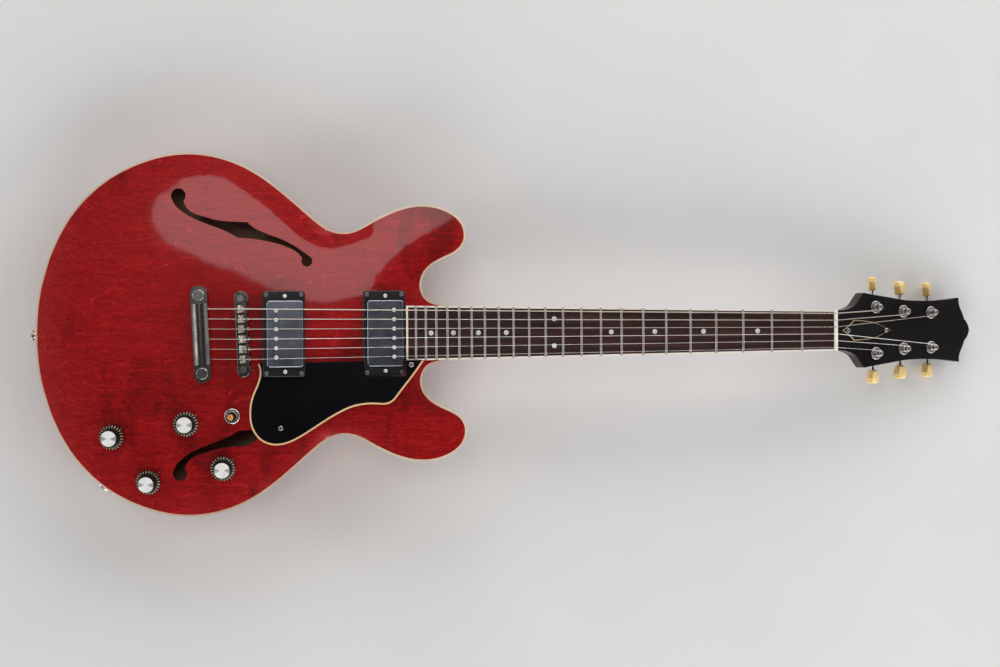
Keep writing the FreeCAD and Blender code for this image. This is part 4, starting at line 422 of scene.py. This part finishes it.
def nickel(name, bright, tarnish, roughness, *targets, stretch=(1.0, 1.0, 1.0),
           spots=0.5, lines=0.35, streaks=1.0, mottle=60.0):
    """Aged nickel plate: cloudy tarnish, polishing lines and a few dull spots."""
    metal = Surface(name, bright, roughness=roughness, metallic=1.0)
    cloud = metal.noise(mottle, detail=4.0, rough=0.6)
    spot = metal.noise(480.0, detail=2.0)
    line = metal.noise(tuple(POLISH_LINES * part for part in stretch), detail=3.0, rough=0.6)
    tone = metal.ramp(cloud, (0.34, tarnish), (0.62, bright))
    dull = tuple(value * 0.55 for value in tarnish)
    tone = metal.mix(metal.span(spot, 0.64, 0.74, 0.0, spots), tone, dull)
    metal.join("Base Color", tone)
    worn = metal.work_out("ADD", metal.span(cloud, 0.3, 0.7, roughness * 1.25, roughness * 0.80),
                          metal.span(line, 0.3, 0.7, -0.05 * streaks, 0.07 * streaks))
    metal.join("Roughness", worn)
    metal.join("Normal", metal.rise(line, 0.00002, lines))
    metal.dress(*targets)
    return metal


nickel("nickel_tailpiece", (0.25, 0.232, 0.215), (0.13, 0.120, 0.112), 0.25, "tailpiece",
       stretch=(1.0, 0.08, 1.0), lines=0.0, spots=0.0, streaks=0.2)
nickel("nickel_bridge", (0.19, 0.178, 0.166), (0.050, 0.046, 0.043), 0.26, "bridge_body",
       lines=0.05, spots=0.2, mottle=260.0)
nickel("nickel_saddles", (0.33, 0.285, 0.225), (0.028, 0.025, 0.021), 0.24, "bridge_saddles",
       lines=0.06, spots=0.2, mottle=420.0)
nickel("nickel_studs", (0.46, 0.44, 0.41), (0.32, 0.30, 0.28), 0.22,
       "bridge_and_tailpiece_studs", lines=0.0, spots=0.0, streaks=0.3)
nickel("nickel_covers", (0.335, 0.355, 0.415), (0.300, 0.318, 0.375), 0.22, "pickup_covers",
       spots=0.0, lines=0.0, streaks=0.0)
nickel("nickel_strap", (0.68, 0.65, 0.60), (0.46, 0.43, 0.40), 0.24, "strap_buttons_and_screws",
       lines=0.06, spots=0.2)
controls = nickel("nickel_controls", (0.90, 0.88, 0.84), (0.74, 0.72, 0.68), 0.32,
                  "control_hardware", "switch_lever", "output_jack", lines=0.0, spots=0.1,
                  streaks=0.3)

# The switch's nut and collar: bright rings, with painted shade in the gap between them and in the bore
COLLAR_BORE = 4.8 * MM
GAP_INNER = 5.9 * MM
GAP_OUTER = 7.1 * MM
hinge = joints["pickup_switch_tilt"]
hinge_axis = Vector(hinge["axis"]).normalized()
upward = Vector((0.0, 0.0, 1.0)) - hinge_axis * hinge_axis.z
from_switch = controls.from_axis(frame_on(hinge["pos_m"], upward))
shaded_gap = controls.work_out("MULTIPLY", controls.work_out("GREATER_THAN", from_switch, GAP_INNER),
                        controls.work_out("LESS_THAN", from_switch, GAP_OUTER))
shaded_bore = controls.work_out("LESS_THAN", from_switch, COLLAR_BORE)
dark = controls.work_out("MAXIMUM", shaded_gap, shaded_bore)
# Painted shade: the gap and the bore are coloured near black
controls.join("Base Color", controls.mix(dark, controls.colour_so_far(), (0.060, 0.050, 0.036)))

# Pole and height screws are bright, the rings' corner screws are blackened
PICKUP_PLACES = (263.9 * MM, 368.6 * MM)
RING_MIDDLE = -1.2 * MM
CORNER_ALONG = 12 * MM
CORNER_ACROSS = 34 * MM
screws = nickel("nickel_screws", (0.95, 0.92, 0.90), (0.80, 0.77, 0.74), 0.34, "pickup_screws",
                lines=0.0, spots=0.2, streaks=0.3)
screws.set("Metallic", 0.45)
spot = screws.axes_in(guitar_place)
from_mid = None
for place in PICKUP_PLACES:
    away = screws.work_out("ABSOLUTE", screws.work_out("SUBTRACT", spot[0], place + RING_MIDDLE))
    from_mid = away if from_mid is None else screws.work_out("MINIMUM", from_mid, away)
corner = screws.work_out("MULTIPLY", screws.work_out("GREATER_THAN", from_mid, CORNER_ALONG),
                         screws.work_out("GREATER_THAN", screws.work_out("ABSOLUTE", spot[1]),
                                         CORNER_ACROSS))
screws.join("Base Color", screws.mix(corner, screws.colour_so_far(), (0.17, 0.16, 0.175)))

nickel("nickel_tuners", (0.70, 0.66, 0.64), (0.46, 0.43, 0.41), 0.22, "tuner_housings",
       "tuner_bushings", *["tuner_post_%d" % number for number in TUNERS],
       *["tuner_key_%d" % number for number in TUNERS], lines=0.06, spots=0.2)

# Frets, and the truss rod
fret_metal = Surface("fret_wire", (0.46, 0.43, 0.41), roughness=0.42, metallic=0.6)
polish = fret_metal.noise((1600.0, 40.0, 1600.0), detail=3.0)
wear = fret_metal.noise((70.0, 160.0, 70.0), detail=3.0)
fret_metal.join("Base Color", fret_metal.ramp(wear, (0.35, (0.36, 0.33, 0.31)),
                                              (0.62, (0.46, 0.43, 0.41))))
fret_metal.join("Roughness", fret_metal.span(polish, 0.3, 0.7, 0.36, 0.46))
fret_metal.dress("frets", "truss_rod")

# Wound strings: WAVE_SCALE makes one band of a wave pattern one unit long
WRAP_PITCH = 0.32 * MM
WAVE_SCALE = 0.3142
wound = Surface("wound_string", (0.66, 0.62, 0.56), roughness=0.3, metallic=1.0)
wraps_and_groove_shade = wound.bands((1.0 / WRAP_PITCH * WAVE_SCALE, 0.0, 0.0))
smudge = wound.noise(35.0, detail=3.0)
# The wraps are bright and the grooves between them darker: painted shade, its tone varied by smudges
wound.join("Base Color", wound.mix(wraps_and_groove_shade, wound.ramp(smudge, (0.3, (0.20, 0.17, 0.14)),
                                                    (0.7, (0.30, 0.26, 0.21))),
                                   (0.74, 0.69, 0.60)))
wound.join("Roughness", wound.span(smudge, 0.3, 0.7, 0.24, 0.42))
wound.join("Normal", wound.rise(wraps_and_groove_shade, 0.00012, 0.8))
wound.dress("strings_wound")

# Plain strings
plain = Surface("plain_string", (0.90, 0.88, 0.84), roughness=0.34, metallic=0.8)
smudge = plain.noise(45.0, detail=4.0)
plain.join("Base Color", plain.ramp(smudge, (0.32, (0.70, 0.66, 0.60)),
                                    (0.64, (0.94, 0.92, 0.90))))
plain.join("Roughness", plain.span(smudge, 0.3, 0.7, 0.42, 0.30))
plain.dress("strings_plain")

# Pearl position dots
pearl = Surface("pearl", (0.80, 0.79, 0.76), roughness=0.22, coat=0.7, coat_roughness=0.04)
flake = pearl.cells(520.0)
drift = pearl.noise((150.0, 260.0, 150.0), detail=3.0, distortion=1.2)
tone = pearl.ramp(drift, (0.30, (0.46, 0.48, 0.50)), (0.50, (0.72, 0.72, 0.70)),
                  (0.70, (0.88, 0.86, 0.82)))
pearl.join("Base Color", pearl.mix(pearl.span(flake, 0.15, 0.6, 0.0, 0.35), tone,
                                   (0.62, 0.66, 0.68)))
pearl.join("Roughness", pearl.span(drift, 0.3, 0.7, 0.16, 0.30))
pearl.dress("position_markers")

# Bone nut
bone = Surface("bone", (0.80, 0.76, 0.66), roughness=0.35, specular=0.5)
streak = bone.noise((90.0, 90.0, 900.0), detail=3.0)
pit = bone.noise((900.0, 900.0, 240.0), detail=2.0)
tone = bone.ramp(streak, (0.3, (0.80, 0.75, 0.66)), (0.7, (0.92, 0.89, 0.84)))
bone.join("Base Color", bone.mix(bone.span(pit, 0.64, 0.74, 0.0, 0.45), tone,
                                 (0.55, 0.47, 0.35)))
bone.join("Roughness", bone.span(streak, 0.3, 0.7, 0.28, 0.44))
bone.dress("nut")

# Ivory tuner buttons
ivory = Surface("ivory_plastic", (0.78, 0.60, 0.30), roughness=0.24, coat=0.3,
                coat_roughness=0.06)
swirl = ivory.noise(120.0, detail=4.0, distortion=1.6)
deep = ivory.noise(36.0, detail=2.0)
tone = ivory.ramp(swirl, (0.28, (0.72, 0.43, 0.11)), (0.46, (0.92, 0.64, 0.23)),
                  (0.70, (0.98, 0.78, 0.38)))
ivory.join("Base Color", ivory.mix(ivory.span(deep, 0.42, 0.62, 0.0, 0.35), tone,
                                   (0.74, 0.49, 0.17)))
ivory.join("Roughness", ivory.span(swirl, 0.3, 0.7, 0.20, 0.32))
ivory.join("Normal", ivory.rise(deep, 0.0004, 0.15))
ivory.dress(*["tuner_button_%d" % number for number in TUNERS])

# Amber switch tip
amber = Surface("amber_plastic", (0.72, 0.26, 0.035), roughness=0.16, coat=0.4,
                Transmission_Weight=0.25, IOR=1.5)
swirl = amber.noise((260.0, 260.0, 200.0), detail=3.0, distortion=1.2)
amber.join("Base Color", amber.ramp(swirl, (0.30, (0.52, 0.13, 0.015)),
                                    (0.52, (0.76, 0.28, 0.040)), (0.72, (0.90, 0.50, 0.14))))
amber.join("Roughness", amber.span(swirl, 0.3, 0.7, 0.12, 0.24))
amber.dress("switch_tip")


# Knobs: spun caps and printed ticks
SKIRT_RADIUS = 13.2 * MM
SKIRT_FLAT_TOP = 3.58 * MM
BARREL_RADIUS = 9.8 * MM
SKIRT_TOP = 6.0 * MM
TICK_LIFT = 0.06 * MM
TICK_WIDTH = 0.85 * MM
TICK_COUNT = 24
TICK_START = BARREL_RADIUS + 0.7 * MM
TICK_END = BARREL_RADIUS + 3.1 * MM
CAP_CENTRE = 0.2 * MM
CAP_RINGS = 5200.0

# Gold ink of the ticks
gold_ink = Surface("gold_ink", (0.34, 0.29, 0.16), roughness=0.4)
patch = gold_ink.noise(700.0, detail=2.0)
gold_ink.join("Base Color", gold_ink.ramp(patch, (0.34, (0.13, 0.11, 0.055)),
                                          (0.60, (0.42, 0.36, 0.20))))


def skirt_height(radius):
    """The height of the skirt's sloping top above the knob's seat on its axis."""
    slope = (SKIRT_TOP - SKIRT_FLAT_TOP) / (SKIRT_RADIUS - BARREL_RADIUS)
    return SKIRT_FLAT_TOP + (SKIRT_RADIUS - radius) * slope


def knob_ticks(number):
    """The printed ticks round a knob's skirt, as thin blocks in one piece."""
    joint = joints["knob_%d_turn" % number]
    place = frame_on(joint["pos_m"], joint["axis"])
    mesh = bmesh.new()
    for tick in range(TICK_COUNT):
        angle = 2 * math.pi * (tick + 0.5) / TICK_COUNT
        out = Vector((math.cos(angle), math.sin(angle), 0.0))
        over = Vector((-out.y, out.x, 0.0)) * TICK_WIDTH / 2
        rows = []
        for lift in (-TICK_LIFT, TICK_LIFT):
            for radius in (TICK_START, TICK_END):
                centre = out * radius + Vector((0.0, 0.0, skirt_height(radius) + lift))
                rows.append([mesh.verts.new(place @ (centre - over)),
                             mesh.verts.new(place @ (centre + over))])
        low_in, low_out, high_in, high_out = rows
        for face in ((high_in[0], high_out[0], high_out[1], high_in[1]),
                     (low_in[0], low_in[1], low_out[1], low_out[0]),
                     (low_in[0], low_out[0], high_out[0], high_in[0]),
                     (low_out[0], low_out[1], high_out[1], high_out[0]),
                     (low_out[1], low_in[1], high_in[1], high_out[1]),
                     (low_in[1], low_in[0], high_in[0], high_in[1])):
            mesh.faces.new(face)
    bmesh.ops.recalc_face_normals(mesh, faces=mesh.faces)
    data = bpy.data.meshes.new("knob_ticks_%d" % number)
    mesh.to_mesh(data)
    mesh.free()
    piece = bpy.data.objects.new("knob_ticks_%d" % number, data)
    bpy.context.scene.collection.objects.link(piece)
    data.materials.append(gold_ink.material)
    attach(piece, joint["child"])


def spun_cap(number):
    """A knob's spun metal cap: fine rings, and two dark wedges along the guitar painted into its colour, a
    painted reflection of spun metal's dark streaks.
    """
    joint = joints["knob_%d_turn" % number]
    cap = Surface("spun_cap_%d" % number, (0.97, 0.96, 0.93), roughness=0.42, metallic=0.25,
                  Anisotropic=0.85)
    place = frame_on(joint["pos_m"], joint["axis"])
    axes = cap.axes_in(place)
    from_axis = cap.from_axis(place)
    outward = cap.add("ShaderNodeCombineXYZ", {"X": from_axis}).outputs[0]
    groove = cap.add("ShaderNodeTexNoise", {
        "Vector": outward, "Scale": CAP_RINGS, "Detail": 2.0}).outputs["Fac"]
    spun = cap.ramp(groove, (0.30, (0.92, 0.90, 0.86)), (0.70, (0.99, 0.98, 0.95)))
    ahead = cap.work_out("DIVIDE", cap.work_out("ABSOLUTE", axes[0]),
                         cap.work_out("ADD", from_axis, CAP_CENTRE))
    painted_reflection_wedge = cap.span(ahead, 0.86, 1.0, 0.0, 0.95)
    # Painted reflection: the cap's colour goes dark in two wedges along the guitar's length
    cap.join("Base Color", cap.mix(painted_reflection_wedge, spun, (0.13, 0.115, 0.095)))
    cap.join("Roughness", cap.span(groove, 0.3, 0.7, 0.40, 0.48))
    cap.join("Normal", cap.rise(groove, 0.00002, 0.3))
    from_knob = cap.add("ShaderNodeVectorMath", {0: cap.coordinates, 1: joint["pos_m"]},
                        operation="SUBTRACT").outputs[0]
    axis = Vector(joint["axis"]).normalized()
    cap.join("Tangent", cap.add("ShaderNodeVectorMath", {0: axis, 1: from_knob},
                                operation="CROSS_PRODUCT").outputs[0])
    cap.dress("knob_cap_and_shaft_%d" % number)


for number in KNOBS:
    knob_ticks(number)
    spun_cap(number)


# Floor
floor_surface = Surface("floor", (0.74, 0.735, 0.72), roughness=0.85, specular=0.1)
paper = floor_surface.noise(3.0, detail=3.0)
floor_surface.join("Base Color", floor_surface.ramp(paper, (0.3, (0.72, 0.715, 0.70)),
                                                    (0.7, (0.76, 0.755, 0.74))))
FLOOR_HALF = 9.0
floor_mesh = bpy.data.meshes.new("floor")
corners = [(-FLOOR_HALF, -FLOOR_HALF, 0.0), (FLOOR_HALF, -FLOOR_HALF, 0.0),
           (FLOOR_HALF, FLOOR_HALF, 0.0), (-FLOOR_HALF, FLOOR_HALF, 0.0)]
floor_mesh.from_pydata(corners, [], [(0, 1, 2, 3)])
floor = bpy.data.objects.new("floor", floor_mesh)
bpy.context.scene.collection.objects.link(floor)
floor_mesh.materials.append(floor_surface.material)

# The air is bright at the horizon and dim overhead
SKY_LEVELS = ((0.24, 1.00), (0.60, 0.075), (1.0, 0.035))
SKY_BLUE = 1.02
world = bpy.data.worlds.new("studio")
bpy.context.scene.world = world
world.use_nodes = True
air = world.node_tree
air.nodes.clear()
sky_out = air.nodes.new("ShaderNodeOutputWorld")
sky = air.nodes.new("ShaderNodeBackground")
sky_place = air.nodes.new("ShaderNodeTexCoord")
sky_split = air.nodes.new("ShaderNodeSeparateXYZ")
sky_ramp = air.nodes.new("ShaderNodeValToRGB")
air.links.new(sky_place.outputs["Generated"], sky_split.inputs[0])
air.links.new(sky_split.outputs[2], sky_ramp.inputs[0])
air.links.new(sky_ramp.outputs[0], sky.inputs["Color"])
air.links.new(sky.outputs[0], sky_out.inputs["Surface"])
elements = sky_ramp.color_ramp.elements
elements.new(0.5)
for element, (place, level) in zip(elements, SKY_LEVELS):
    element.position = place
    element.color = (level, level, level * SKY_BLUE, 1.0)
sky.inputs["Strength"].default_value = 1.0


def softbox(name, place, aim, width, height, power, shape="RECTANGLE"):
    """A soft lamp of one shape that looks at a point."""
    lamp = bpy.data.lights.new(name, "AREA")
    lamp.shape = shape
    lamp.size = width
    lamp.size_y = height
    lamp.energy = power
    box = bpy.data.objects.new(name, lamp)
    bpy.context.scene.collection.objects.link(box)
    box.location = place
    box.rotation_mode = "QUATERNION"
    box.rotation_quaternion = (Vector(aim) - Vector(place)).to_track_quat("-Z", "Y")
    return box


# The window lamp over the body makes the soft reflection on the top
WINDOW_PLACE = (-0.47, 0.583, 2.0)
WINDOW_AIM = (-0.47, 0.583, 0.0)
WINDOW_WIDTH = 1.00
WINDOW_HEIGHT = 0.82
WINDOW_POWER = 3.5
WINDOW_TURN = Quaternion((0.0, 0.0, 1.0), -0.467)
window = softbox("window_light", WINDOW_PLACE, WINDOW_AIM, WINDOW_WIDTH, WINDOW_HEIGHT,
                 WINDOW_POWER, "ELLIPSE")
window.rotation_quaternion = window.rotation_quaternion @ WINDOW_TURN

# Low fills all round
FILL_AIM = (0.0, 0.0, 0.0)
FILL_WIDTH = 2.2
FILL_HEIGHT = 1.5
FILLS = (("fill_behind", (-2.9, 0.0, 1.15), 18.0),
         ("fill_left", (-0.1, 2.7, 1.20), 36.0),
         ("fill_right", (-0.1, -2.7, 1.20), 41.0),
         ("fill_ahead_left", (2.1, 1.9, 1.15), 37.0),
         ("fill_ahead_right", (2.1, -1.9, 1.15), 37.0))
for name, place, power in FILLS:
    softbox(name, place, FILL_AIM, FILL_WIDTH, FILL_HEIGHT, power)

bpy.context.scene.view_settings.view_transform = "Standard"
